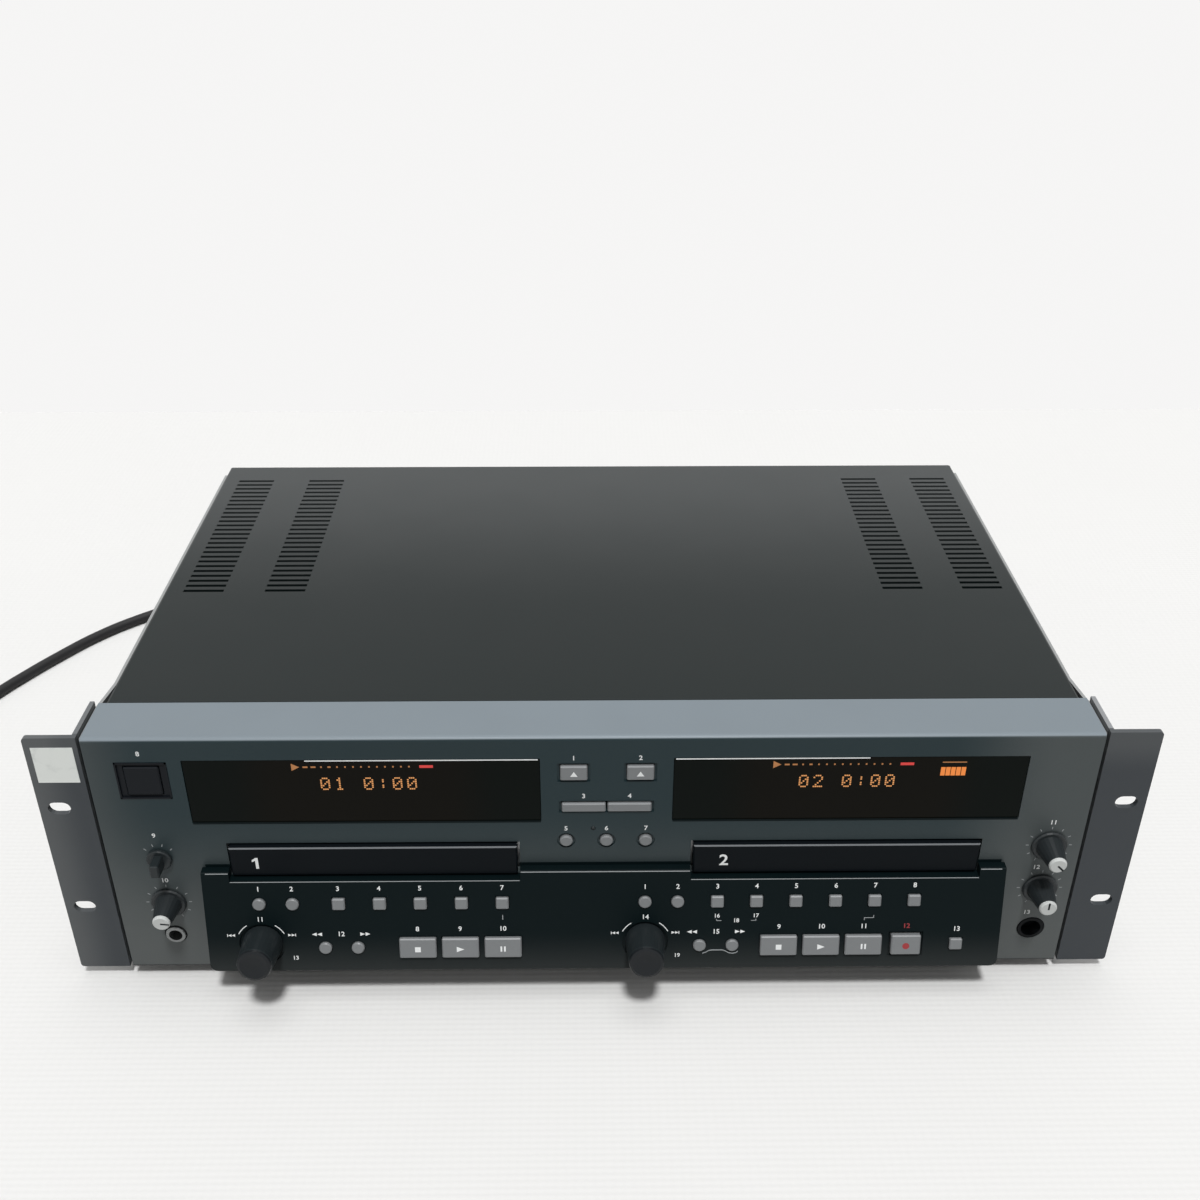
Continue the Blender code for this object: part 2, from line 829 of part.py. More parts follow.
# Slanted control panel, notched under the trays, with a pocket for each key and dial
def control_panel():
    bm = bmesh.new()
    left = control_middle - control_width / 2
    right = control_middle + control_width / 2
    outline = rounded(
        (
            (control_rear, control_top, 0),
            (control_edge_y, control_top, control_edge),
            (control_edge_y - control_lean, control_low_front, control_edge),
            (control_rear, control_low_rear, 0),
        )
    )
    prism(bm, outline, left, right, "x")
    panel = put("control_panel", bm, black_plastic)

    bm = bmesh.new()
    for share in tray_x_shares:
        middle = across(share)
        slab(
            bm,
            (middle - mouth_half_width, control_edge_y - control_lean, mouth_low),
            (middle + mouth_half_width, control_rear + overrun, control_top + overrun),
        )
    for end, side in ((left, 1), (right, -1)):
        outline = [(end - side * overrun, control_low_rear - overrun)]
        for step in range(arc_steps + 1):
            angle = pi / 2 * step / arc_steps
            outline.append(
                (
                    end + side * control_corner * (1 - sin(angle)),
                    control_low_front + control_corner * (1 - cos(angle)),
                )
            )
        outline.append((end - side * overrun, control_low_front + control_corner))
        outline.insert(1, (end + side * control_corner, control_low_rear - overrun))
        prism(bm, outline, control_edge_y - control_lean - overrun, control_rear + overrun, "y")
    combine(panel, bm, "control_notches")

    bm = bmesh.new()
    for name, kind, x_share, row_share in control_key_shares:
        width, height = key_sizes[kind]
        x, z = across(x_share), -row_share * control_face_length
        if kind == "round":
            rod(bm, width / 2 + fit, -overrun, pocket_depth, 16, (x, 0, z))
        else:
            slab(
                bm,
                (x - width / 2 - fit, -overrun, z - height / 2 - fit),
                (x + width / 2 + fit, pocket_depth, z + height / 2 + fit),
            )
    for share in dial_x_shares:
        middle = (across(share), 0, -dial_row_share * control_face_length)
        rod(bm, shaft_radius + fit, -overrun, shaft_hole_depth, 14, middle)
    combine(panel, bm, "control_pockets", parent=control_frame)

    bm = bmesh.new()
    for share in dial_x_shares:
        middle = (across(share), 0, -dial_row_share * control_face_length)
        rod(bm, dial_well_radius, -overrun, dial_well_depth, 28, middle)
    combine(panel, bm, "dial_wells", parent=control_frame)

    bm = bmesh.new()
    x, z = across(record_key_x_share), -lower_row_share * control_face_length
    wide = record_key_width / 2 + record_recess_edge
    tall = wide_key_height / 2 + record_recess_edge
    slab(bm, (x - wide, -overrun, z - tall), (x + wide, record_recess_depth, z + tall))
    combine(panel, bm, "record_recess", parent=control_frame)


# Keys: a block or a short rod, with a softened front edge
def key_shape(kind, stand, reach):
    width, height = key_sizes[kind]
    bm = bmesh.new()
    if kind == "round":
        radius = width / 2
        profile = (
            (0, -stand),
            (radius - key_edge, -stand),
            (radius, key_edge - stand),
            (radius, reach),
            (0, reach),
        )
        turned(bm, profile, 16)
    else:
        slab(bm, (-width / 2, -stand, -height / 2), (width / 2, reach, height / 2))
        soften(bm, front_edges(bm), key_edge)
    return bm


def all_keys():
    place = (power_inset - case_half_width, panel_front, upward(power_z_share))
    bm = key_shape("power", power_stand, power_reach)
    put("power_button", bm, black_plastic, place=place)
    for name, kind, x_share, z_share in panel_key_shares:
        bm = key_shape(kind, panel_key_stand, panel_key_reach)
        place = (across(x_share), panel_front, upward(z_share))
        put(name, bm, key_plastic, place=place)
    for name, kind, x_share, row_share in control_key_shares:
        stand = wide_key_stand if kind in ("wide", "record") else small_key_stand
        bm = key_shape(kind, stand, key_reach)
        place = (across(x_share), 0, -row_share * control_face_length)
        put(name, bm, key_plastic, control_frame, place)


# Multi dials: round, with a dished face and a shaft into the control panel
def multi_dial(name, share):
    bm = bmesh.new()
    front = -dial_length
    edge = dial_front_radius - dial_round
    profile = (
        (0, front + dial_dimple_depth),
        (dial_front_radius * dial_dimple_share, front + dial_dimple_depth / 2),
        (edge, front),
        (edge + dial_round * sin(pi / 4), front + dial_round * (1 - cos(pi / 4))),
        (dial_front_radius, front + dial_round),
        (dial_radius, dial_back),
        (shaft_radius, dial_back),
        (shaft_radius, shaft_reach),
        (0, shaft_reach),
    )
    turned(bm, profile, 28)
    place = (across(share), 0, -dial_row_share * control_face_length)
    put(name, bm, black_plastic, control_frame, place)


# Knobs: a skirt that tapers to a round cap, on a shaft
def taper_knob(name, x, z):
    bm = bmesh.new()
    front = -knob_gap - knob_length
    profile = (
        (0, front),
        (knob_cap_radius - knob_round, front),
        (knob_cap_radius, front + knob_round),
        (knob_body_radius, -knob_gap - knob_skirt),
        (knob_skirt_radius - knob_round, -knob_gap - knob_skirt),
        (knob_skirt_radius, knob_round - knob_gap - knob_skirt),
        (knob_skirt_radius, -knob_gap),
        (shaft_radius, -knob_gap),
        (shaft_radius, shaft_reach),
        (0, shaft_reach),
    )
    turned(bm, profile, 20)
    put(name, bm, knob_plastic, place=(x, panel_front, z))


def selector_knob(name, x, z):
    bm = bmesh.new()
    face = -knob_gap - selector_base
    profile = (
        (0, face),
        (selector_radius - selector_edge, face),
        (selector_radius, face + selector_edge),
        (selector_radius, -knob_gap),
        (shaft_radius, -knob_gap),
        (shaft_radius, shaft_reach),
        (0, shaft_reach),
    )
    turned(bm, profile, 20)
    place = (x, panel_front, z)
    knob = put(name, bm, black_plastic, place=place)
    bm = bmesh.new()
    wide = selector_grip_width / 2
    tall = selector_grip_height / 2
    slab(bm, (-wide, face - selector_grip_length, -tall), (wide, face + selector_edge, tall))
    soften(bm, front_edges(bm), selector_edge)
    combine(knob, bm, "selector_grip", "UNION", place=place)


# Sockets in the front panel: a bore with a floor, and a lip in front
def front_socket(name, radius, bore, lip, floor, depth, place):
    edge = panel_front - lip
    profile = (
        (0, panel_front + floor),
        (bore, panel_front + floor),
        (bore, edge),
        (radius - fit, edge),
        (radius, edge + fit),
        (radius, panel_front + depth),
        (0, panel_front + depth),
    )
    bm = bmesh.new()
    turned(bm, profile, 20, place)
    put(name, bm, bare_steel)


# Trays: a plate with a disc well and a pickup slot, and the door in front of it
def disc_tray(name, share):
    place = (across(share), tray_front, tray_low)
    shift = door_rear - tray_front
    bm = bmesh.new()
    plate_start = shift - door_thickness / 2
    slab(bm, (-tray_width / 2, plate_start, 0), (tray_width / 2, tray_length, tray_thickness))
    tray = put(name, bm, black_plastic, place=place)
    bm = bmesh.new()
    door_start = shift - door_thickness
    low = door_low - tray_low
    slab(bm, (-door_width / 2, door_start, low), (door_width / 2, shift, low + door_height))
    rim = [edge for edge in bm.edges if max(vert.co.y for vert in edge.verts) < plate_start]
    soften(bm, rim, door_edge)
    combine(tray, bm, name + "_door", "UNION", place=place)
    top = tray_thickness + overrun
    bm = bmesh.new()
    rod(bm, disc_radius, tray_thickness - disc_depth, top, 40, (0, disc_middle, 0), "z")
    combine(tray, bm, name + "_well", place=place)
    bm = bmesh.new()
    slab(
        bm,
        (-pickup_width / 2, disc_middle, -overrun),
        (pickup_width / 2, disc_middle + pickup_length, top),
    )
    combine(tray, bm, name + "_slot", place=place)


# Drives: rails and a deck on legs, a bridge with the disc clamp, and the motor below
def disc_drive(name, share):
    deck_top = tray_low - fit
    inner = tray_width / 2 + fit
    outer = inner + rail_thickness
    low = sheet + fit
    rear = drive_front + drive_depth
    outline = (
        (-outer, low),
        (-inner, low),
        (-inner, deck_top - deck_thickness),
        (inner, deck_top - deck_thickness),
        (inner, low),
        (outer, low),
        (outer, rail_top),
        (inner, rail_top),
        (inner, deck_top),
        (-inner, deck_top),
        (-inner, rail_top),
        (-outer, rail_top),
    )
    place = (across(share), 0, 0)
    bm = bmesh.new()
    prism(bm, outline, drive_front, rear, "y")
    drive = put(name, bm, bare_steel, place=place)
    middle = drive_front + drive_depth * bridge_share
    bridge_low = rail_top - bridge_thickness / 2
    bm = bmesh.new()
    slab(
        bm,
        (-inner - rail_thickness / 2, middle - bridge_length / 2, bridge_low),
        (inner + rail_thickness / 2, middle + bridge_length / 2, bridge_low + bridge_thickness),
    )
    combine(drive, bm, name + "_bridge", "UNION", place=place)
    bm = bmesh.new()
    motor_top = deck_top - deck_thickness / 2
    clamp_top = bridge_low + bridge_thickness / 2
    spot = (0, middle, 0)
    rod(bm, clamp_radius, bridge_low - clamp_height, clamp_top, 16, spot, "z")
    rod(bm, motor_radius, motor_top - motor_height, motor_top, 16, spot, "z")
    combine(drive, bm, name + "_clamp_and_motor", "UNION", place=place)


# Display board behind the front panel; its two displays fill the windows
def display_board():
    board_front = panel_front + panel_key_reach + key_travel + front_board_gap
    head = rack_height - strip_thickness - fit
    bm = bmesh.new()
    slab(
        bm,
        (front_board_margin - case_half_width, board_front, rail_top + front_board_clearance),
        (case_half_width - front_board_margin, board_front + board_thickness, head),
    )
    board = put("display_board", bm, window_plastic)
    bm = bmesh.new()
    for middle in window_middles:
        place = (middle, upward(window_z_share))
        width = window_width - 2 * fit
        outline = round_box(width, window_height - 2 * fit, window_corner, place, 1)
        prism(bm, outline, panel_front + fit, board_front + board_thickness / 2, "y")
    combine(board, bm, "displays", "UNION")


# Boards behind the drives: on posts, with the parts that stand on them
def rear_board(name, shares, parts):
    """A board between two shares of the width; parts hold (start share, end share, height)."""
    low = sheet + fit
    board_low = low + board_post_height
    board_head = board_low + board_thickness
    y_start = rear_board_front
    y_end = rear_board_front + rear_board_depth
    x_start, x_end = across(shares[0]), across(shares[1])
    bm = bmesh.new()
    slab(bm, (x_start, y_start, board_low), (x_end, y_end, board_head))
    board = put(name, bm, board_green)
    bm = bmesh.new()
    for x in (x_start + board_post_inset, x_end - board_post_inset):
        for share in board_post_shares:
            spot = (x, y_start + share * rear_board_depth, 0)
            rod(bm, board_post_radius, low, board_low + board_thickness / 2, 8, spot, "z")
    combine(board, bm, name + "_posts", "UNION")
    bm = bmesh.new()
    for start_share, end_share, height in parts:
        slab(
            bm,
            (
                x_start + start_share * (x_end - x_start),
                y_start + part_depth_shares[0] * rear_board_depth,
                board_low + board_thickness / 2,
            ),
            (
                x_start + end_share * (x_end - x_start),
                y_start + part_depth_shares[1] * rear_board_depth,
                board_head + height,
            ),
        )
    combine(board, bm, name + "_parts", "UNION")
    return board


# Main board, with the phono sockets that reach through the rear wall
def main_board():
    parts = ((*processor_shares, processor_height),)
    board = rear_board("main_board", main_board_shares, parts)
    block_rear = rear_face - sheet - fit
    bm = bmesh.new()
    slab(
        bm,
        (
            across(phono_x_shares[0]) - phono_block_edge,
            block_rear - phono_block_depth,
            sheet + fit + board_post_height + board_thickness / 2,
        ),
        (
            across(phono_x_shares[-1]) + phono_block_edge,
            block_rear,
            upward(phono_z_shares[-1]) + phono_block_edge,
        ),
    )
    combine(board, bm, "phono_block", "UNION")
    tip = rear_face + phono_reach
    profile = (
        (0, block_rear - phono_block_depth / 2),
        (phono_barrel, block_rear - phono_block_depth / 2),
        (phono_barrel, rear_face + fit),
        (phono_radius, rear_face + fit),
        (phono_radius, rear_face + fit + phono_flange),
        (phono_barrel, rear_face + fit + phono_flange),
        (phono_barrel, tip),
        (phono_bore, tip),
        (phono_bore, rear_face),
        (0, rear_face),
    )
    bm = bmesh.new()
    for x_share in phono_x_shares:
        for z_share in phono_z_shares:
            turned(bm, profile, 12, (across(x_share), 0, upward(z_share)))
    combine(board, bm, "phono_barrels", "UNION")


def power_supply():
    parts = (
        (*transformer_shares, transformer_height),
        (*heat_sink_shares, heat_sink_height),
    )
    rear_board("power_supply", supply_board_shares, parts)


# Cord gland in the rear wall, tapering towards the cord
def cord_gland():
    bm = bmesh.new()
    outside = rear_face + fit
    profile = (
        (0, rear_face - sheet - gland_inside),
        (gland_radius, rear_face - sheet - gland_inside),
        (gland_radius, outside),
        (gland_flange_radius, outside),
        (gland_flange_radius, outside + gland_flange),
        (gland_radius, outside + gland_flange),
        (gland_tip_radius, rear_face + gland_reach),
        (0, rear_face + gland_reach),
    )
    turned(bm, profile, 16, (across(gland_x_share), 0, upward(gland_z_share)))
    put("cord_gland", bm, cord_rubber)


# Coil of the cord
def coil_route():
    """Points of the coil, clockwise from its rightmost point."""
    inward = coil_turns * 2 * pi
    total = 2 * inward + pi
    outermost = coil_mid_radius + coil_turns * coil_pitch / 2
    count = int(round(total / (2 * pi) * coil_points))
    points = []
    for index in range(count + 1):
        angle = total * index / count
        before_middle = min(angle, total - angle)
        radius = outermost - coil_pitch * before_middle / (2 * pi)
        climb = min(max((angle - inward) / pi, 0), 1)
        rise = coil_layer * (1 - cos(pi * climb)) / 2
        points.append(
            Vector(
                (
                    coil_centre[0] + radius * cos(angle),
                    coil_centre[1] - radius * sin(angle),
                    cord_radius + rise,
                )
            )
        )
    start = points[0] + Vector((0, coil_lead, 0))
    end = points[-1] + Vector((0, coil_tail, 0))
    return [start] + points + [end]


def smooth_points(route, spacing):
    """Evenly spaced points on a cubic spline through the route."""
    knots = [0.0]
    for first, second in zip(route, route[1:]):
        knots.append(knots[-1] + (second - first).length)
    last = len(route) - 1
    slopes = []
    for index in range(last + 1):
        before = route[max(index - 1, 0)]
        after = route[min(index + 1, last)]
        span = knots[min(index + 1, last)] - knots[max(index - 1, 0)]
        slopes.append((after - before) / span)
    dense = []
    for index in range(last):
        length = knots[index + 1] - knots[index]
        for step in range(spline_steps):
            t = step / spline_steps
            dense.append(
                route[index] * (2 * t**3 - 3 * t**2 + 1)
                + slopes[index] * (t**3 - 2 * t**2 + t) * length
                + route[index + 1] * (3 * t**2 - 2 * t**3)
                + slopes[index + 1] * (t**3 - t**2) * length
            )
    dense.append(route[-1])
    walked = [0.0]
    for first, second in zip(dense, dense[1:]):
        walked.append(walked[-1] + (second - first).length)
    count = ceil(walked[-1] / spacing)
    points = []
    place = 0
    for index in range(count + 1):
        target = walked[-1] * index / count
        while place < len(dense) - 2 and walked[place + 1] < target:
            place += 1
        share = (target - walked[place]) / (walked[place + 1] - walked[place])
        point = dense[place].lerp(dense[place + 1], share)
        point.z = max(point.z, cord_radius)
        points.append(point)
    return points


def tube(name, points, resolution):
    curve = bpy.data.curves.new(name, "CURVE")
    curve.dimensions = "3D"
    curve.bevel_depth = cord_radius
    curve.bevel_resolution = resolution
    curve.use_fill_caps = True
    spline = curve.splines.new("POLY")
    spline.points.add(len(points) - 1)
    for target, point in zip(spline.points, points):
        target.co = (*point, 1)
    curve.materials.append(cord_rubber)
    made = bpy.data.objects.new(name, curve)
    bpy.context.scene.collection.objects.link(made)


def cords():
    coil = coil_route()
    gland_end = Vector(
        (
            across(gland_x_share),
            ear_front_y + rear_face + gland_reach + fit,
            foot_height + upward(gland_z_share),
        )
    )
    leave = gland_end + Vector((0, 2 * cord_diameter, 0))
    meet = coil[0] + Vector((0, fit, 0))
    arrive = meet + Vector((0, 2 * cord_diameter, 0))
    route = [gland_end, leave] + [Vector(point) for point in cord_route] + [arrive, meet]
    points = smooth_points(route, 2 * cord_diameter)
    points.insert(1, gland_end.lerp(leave, 1 / 2))
    points.insert(-1, arrive.lerp(meet, 1 / 2))
    tube("power_cord", points, 2)
    tube("cord_coil", coil, 1)
    mains_plug(coil[-1])


# Mains plug, lying beside the coil on its side of the floor
def mains_plug(end):
    start = end.y + fit
    height = end.z
    neck = plug_neck_width / 2
    outline = rounded(
        (
            (-neck, 0, 0),
            (neck, 0, 0),
            (plug_width / 2, plug_length / 2, plug_edge),
            (plug_width / 2, plug_length, plug_edge / 2),
            (-plug_width / 2, plug_length, plug_edge / 2),
            (-plug_width / 2, plug_length / 2, plug_edge),
        )
    )
    place = (end.x, start, height)
    bm = bmesh.new()
    prism(bm, outline, -height, height, "z")
    plug = put("mains_plug", bm, cord_rubber, None, place)
    bm = bmesh.new()
    for side in (-1, 1):
        middle = side * blade_spacing / 2
        slab(
            bm,
            (middle - blade_thickness / 2, plug_length / 2, -blade_width / 2),
            (middle + blade_thickness / 2, plug_length + blade_length, blade_width / 2),
        )
    combine(plug, bm, "plug_blades", "UNION", None, place)


chassis_pan()
top_cover()
rack_ear("rack_ear_left", -1)
rack_ear("rack_ear_right", 1)
front_panel()
display_board()
control_panel()
all_keys()
multi_dial("multi_dial_1", dial_x_shares[0])
multi_dial("multi_dial_2", dial_x_shares[1])
selector_knob(*side_knob_places[0])
for knob in side_knob_places[1:]:
    taper_knob(*knob)
front_socket(
    "phones_jack",
    jack_radius,
    jack_bore,
    jack_lip,
    jack_floor,
    jack_depth,
    (left_column, 0, upward(jack_z_share)),
)
front_socket(
    "keyboard_socket",
    din_radius,
    din_bore,
    din_lip,
    din_floor,
    din_depth,
    (right_column, 0, upward(din_z_share)),
)
for number, tray_share in enumerate(tray_x_shares, 1):
    disc_tray("disc_tray_%d" % number, tray_share)
    disc_drive("disc_drive_%d" % number, tray_share)
main_board()
power_supply()
cord_gland()
cords()
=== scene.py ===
"""Looks of a rack-mounted disc recorder with two trays, over its solid frame.

Metres, +Z up, the front faces -Y, as in the frame.
"""
import json
from math import cos, pi, radians, sin

import bmesh
import bpy
from mathutils import Matrix, Vector


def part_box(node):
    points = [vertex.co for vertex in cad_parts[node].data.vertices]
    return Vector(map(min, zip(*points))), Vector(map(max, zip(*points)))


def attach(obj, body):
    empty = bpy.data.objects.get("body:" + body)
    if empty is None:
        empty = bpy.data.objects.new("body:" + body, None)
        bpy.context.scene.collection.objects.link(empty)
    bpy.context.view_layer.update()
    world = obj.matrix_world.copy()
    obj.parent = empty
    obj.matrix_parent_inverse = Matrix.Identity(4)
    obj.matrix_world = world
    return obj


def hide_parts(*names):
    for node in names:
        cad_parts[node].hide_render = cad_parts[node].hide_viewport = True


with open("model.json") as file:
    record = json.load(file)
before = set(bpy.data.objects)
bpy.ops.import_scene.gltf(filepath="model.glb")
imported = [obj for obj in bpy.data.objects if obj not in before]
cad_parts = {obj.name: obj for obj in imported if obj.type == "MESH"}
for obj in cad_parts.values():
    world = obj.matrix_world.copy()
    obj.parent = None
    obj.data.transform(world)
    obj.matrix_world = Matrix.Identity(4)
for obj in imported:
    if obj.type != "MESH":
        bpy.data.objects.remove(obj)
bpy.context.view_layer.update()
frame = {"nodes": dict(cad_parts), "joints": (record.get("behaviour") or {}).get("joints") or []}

nodes = frame["nodes"]
joints = {joint["name"]: joint for joint in frame["joints"]}

# Planes that carry the printed marks, and how far a mark stands out and reaches in
panel_low, panel_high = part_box("front_panel")
panel_front = panel_low.y
ear_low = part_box("rack_ear_left")[0]
dial_axis = Vector(joints["dial_1_turn"]["axis"]).normalized()
dial_spot = Vector(joints["dial_1_turn"]["pos_m"])
right_way = Vector((1, 0, 0))
up_way = Vector((0, 0, 1))
slant_up = dial_axis.cross(right_way)
front_way = Vector((0, -1, 0))
print_height = 0.00004
print_start = -0.00002


# Camera of the photograph: degrees, lens and sensor in millimetres, and where it stands,
# from the recorder's middle and from the front and the lower edge of the ears
camera_pitch = 30.6257
camera_roll = 0.0882
camera_yaw = 0.6728
camera_lens = 40.214
camera_sensor = 36
camera_x = -0.00333
camera_ahead = 0.45716
camera_rise = 0.46950


def linked(name, data):
    """A new object in the scene."""
    made = bpy.data.objects.new(name, data)
    bpy.context.scene.collection.objects.link(made)
    return made


def photo_camera():
    pitch = radians(camera_pitch)
    roll = radians(camera_roll)
    yaw = radians(camera_yaw)
    ahead = Vector((sin(yaw) * cos(pitch), cos(yaw) * cos(pitch), -sin(pitch)))
    level = Vector((cos(yaw), -sin(yaw), 0))
    upright = level.cross(ahead)
    right = level * cos(roll) + upright * sin(roll)
    up = upright * cos(roll) - level * sin(roll)
    lens = bpy.data.cameras.new("photo_camera")
    lens.lens = camera_lens
    lens.sensor_width = camera_sensor
    lens.sensor_fit = "HORIZONTAL"
    lens.clip_start = 0.01
    lens.clip_end = 20
    camera = linked("photo_camera", lens)
    turn = Matrix((right, up, -ahead)).transposed().to_4x4()
    place = Vector((camera_x, ear_low.y - camera_ahead, ear_low.z + camera_rise))
    camera.matrix_world = Matrix.Translation(place) @ turn
    bpy.context.scene.camera = camera


photo_camera()


# Shader sums
class Value:
    """A socket of a material that takes part in sums."""

    def __init__(self, tree, socket):
        self.tree = tree
        self.socket = socket

    def sum(self, operation, *terms):
        return grow(self.tree, "Math", {"operation": operation}, dict(enumerate(terms)))

    def __add__(self, other):
        return self.sum("ADD", self, other)

    def __radd__(self, other):
        return self.sum("ADD", other, self)

    def __sub__(self, other):
        return self.sum("SUBTRACT", self, other)

    def __rsub__(self, other):
        return self.sum("SUBTRACT", other, self)

    def __mul__(self, other):
        return self.sum("MULTIPLY", self, other)

    def __abs__(self):
        return self.sum("ABSOLUTE", self)

    def above(self, edge):
        return self.sum("GREATER_THAN", self, edge)

    def below(self, edge):
        return self.sum("LESS_THAN", self, edge)

    def wave(self, pitch):
        return self.sum("SINE", self * (2 * pi / pitch))

    def fade(self, start, end):
        """0 at start, 1 at end, and smooth between them."""
        settings = {"interpolation_type": "SMOOTHSTEP", "clamp": True}
        return grow(self.tree, "MapRange", settings, {0: self, 1: start, 2: end})


def grow(tree, kind, settings, sockets, output=0):
    """Add one node, set it, fill its sockets and return one of its outputs."""
    node = tree.nodes.new("ShaderNode" + kind)
    for name, setting in settings.items():
        setattr(node, name, setting)
    for name, given in sockets.items():
        if isinstance(given, Value):
            tree.links.new(given.socket, node.inputs[name])
        else:
            node.inputs[name].default_value = given
    return Value(tree, node.outputs[output])


# Sockets of the Mix node when it mixes colours
mix_factor, mix_first, mix_second, mix_result = 0, 6, 7, 2


class Finish:
    """A material with one Principled shader."""

    def __init__(self, name, colour, roughness, metallic=0.0, specular=0.5):
        self.material = bpy.data.materials.new(name)
        self.material.use_nodes = True
        self.tree = self.material.node_tree
        self.shader = self.tree.nodes["Principled BSDF"]
        self.colour = (*colour, 1.0)
        self.set("Base Color", self.colour)
        self.set("Roughness", roughness)
        self.set("Metallic", metallic)
        self.set("Specular IOR Level", specular)
        self.place = self.add("TexCoord", {}, {}, "Object")

    def add(self, kind, settings, sockets, output=0):
        return grow(self.tree, kind, settings, sockets, output)

    def set(self, socket, given):
        if isinstance(given, Value):
            self.tree.links.new(given.socket, self.shader.inputs[socket])
        else:
            self.shader.inputs[socket].default_value = given

    def axis(self, name):
        return self.add("SeparateXYZ", {}, {0: self.place}, name)

    def noise(self, size, detail):
        """Noise about 0.5 whose lumps are about this size."""
        sockets = {"Vector": self.place, "Scale": 1 / size, "Detail": detail}
        return self.add("TexNoise", {}, sockets, "Fac")

    def blend(self, factor, first, second):
        """The first colour where the factor is 0, the second one where it is 1."""
        settings = {"data_type": "RGBA", "clamp_factor": True}
        sockets = {mix_factor: factor, mix_first: first, mix_second: second}
        return self.add("Mix", settings, sockets, mix_result)

    def bump(self, height, distance, strength=1.0):
        sockets = {"Height": height, "Distance": distance, "Strength": strength}
        self.set("Normal", self.add("Bump", {}, sockets, "Normal"))


cloud_size = 0.035


def shade(colour, factor):
    return (*(min(part * factor, 1.0) for part in colour[:3]), 1.0)


def grained(name, colour, roughness, grain, depth, metallic=0.0, spread=0.08, specular=0.5):
    """A paint or a moulding with fine grain, faint clouds and uneven gloss."""
    made = Finish(name, colour, roughness, metallic, specular)
    clouds = made.noise(cloud_size, 4.0)
    specks = made.noise(grain, 2.0)
    darker, lighter = shade(made.colour, 1 - spread), shade(made.colour, 1 + spread)
    made.tone = made.blend(clouds * 0.6 + specks * 0.4, darker, lighter)
    made.set("Base Color", made.tone)
    made.set("Roughness", clouds * 0.12 + (roughness - 0.06))
    made.bump(specks, depth)
    return made


# Finishes: colour (linear), roughness, then the size and the depth of the grain in metres
switch_moulding = grained(
    "switch_moulding", (0.009, 0.011, 0.014), 0.35, 0.0004, 0.000005, specular=0.10
)
socket_moulding = grained(
    "socket_moulding", (0.006, 0.007, 0.008), 0.50, 0.0004, 0.000005, specular=0.08
)
key_moulding = grained("key_moulding", (0.195, 0.205, 0.212), 0.45, 0.0004, 0.00001, spread=0.05)
bare_steel = grained("bare_steel", (0.56, 0.57, 0.58), 0.32, 0.0009, 0.000005, metallic=1.0)
jack_nickel = grained("jack_nickel", (0.23, 0.24, 0.24), 0.36, 0.0006, 0.000005, metallic=0.8)
screw_steel = grained("screw_steel", (0.10, 0.10, 0.10), 0.35, 0.0005, 0.000005, metallic=0.8)
cord_rubber = grained("cord_rubber", (0.013, 0.013, 0.014), 0.48, 0.0006, 0.00001, specular=0.3)
white_print_and_painted_light = grained("white_print_and_painted_light", (0.88, 0.90, 0.90), 0.55, 0.0006, 0.000002, spread=0.04)
grey_print_and_painted_light = grained("grey_print_and_painted_light", (0.34, 0.36, 0.37), 0.55, 0.0006, 0.000002)
wire_sleeve = grained("wire_sleeve", (0.80, 0.80, 0.78), 0.45, 0.0008, 0.000005)
ink_print = grained("ink_print", (0.018, 0.019, 0.020), 0.55, 0.0006, 0.000002)
red_print = grained("red_print", (0.33, 0.03, 0.035), 0.50, 0.0006, 0.000002)


def panel_finish():
    """Grey satin paint with painted shade, darker above and less so at both ends, and a painted
    shadow on its lowest edge; painted top light makes the strip that turns back lighter.
    """
    made = grained(
        "panel_paint", (0.098, 0.108, 0.108), 0.44, 0.0006, 0.00003, metallic=0.12, specular=0.30
    )
    height = made.axis("Z")
    across = made.axis("X")
    # Painted shade: darker towards the top, less towards both ends
    inner = 1 - across.fade(0.15, 0.20) * 0.63 - across.fade(-0.19, -0.235) * 0.65
    shaded = made.blend(height.fade(0.012, 0.105) * inner, made.tone, (0.011, 0.026, 0.031, 1))
    # Painted shadow along the rounded lowest edge
    shaded = made.blend(height.below(panel_low.z + 0.0011), shaded, (0.016, 0.018, 0.019, 1))
    # Painted top light: the strip that turns back over the top is lighter
    strip = height.fade(panel_high.z - 0.0015, panel_high.z - 0.0004)
    clouds = made.noise(cloud_size, 4.0)
    painted_top_light = made.blend(clouds, (0.190, 0.225, 0.252, 1), (0.208, 0.246, 0.274, 1))
    made.set("Base Color", made.blend(strip, shaded, painted_top_light))
    return made


def ear_finish():
    """Dark grey on the plates, with painted light at the top and the outer edge, and pale flanges
    behind, lit more on the right with painted light.
    """
    plate_depth = 0.0032
    made = grained(
        "ear_paint_and_painted_light", (0.044, 0.051, 0.058), 0.44, 0.0006, 0.00003, metallic=0.12, specular=0.30
    )
    across = made.axis("X")
    # Painted light: the plates are lighter towards the top and, on the left ear, towards its outer
    # edge
    painted_top_and_edge_light = made.axis("Z").fade(0.116, 0.134) * 0.55 + across.fade(-0.222, -0.242) * 0.9
    plate_tone = made.blend(painted_top_and_edge_light, made.tone, (0.105, 0.112, 0.116, 1))
    # Pale flanges behind the plates; painted light makes the right one lighter than the left
    flange = made.axis("Y").above(ear_low.y + plate_depth) * (0.35 + across.above(0.0) * 0.65)
    made.set("Base Color", made.blend(flange, plate_tone, (0.27, 0.28, 0.29, 1)))
    return made


def cover_finish():
    """Greenish black satin paint, a little lighter towards the rear with a painted reflection."""
    made = grained("cover_paint", (0.003, 0.007, 0.007), 0.38, 0.0007, 0.00004, specular=0.24)
    # Painted reflection: lighter towards the rear
    rear = made.axis("Y").fade(-0.02, 0.15)
    made.set("Base Color", made.blend(rear, made.tone, (0.040, 0.045, 0.046, 1)))
    return made


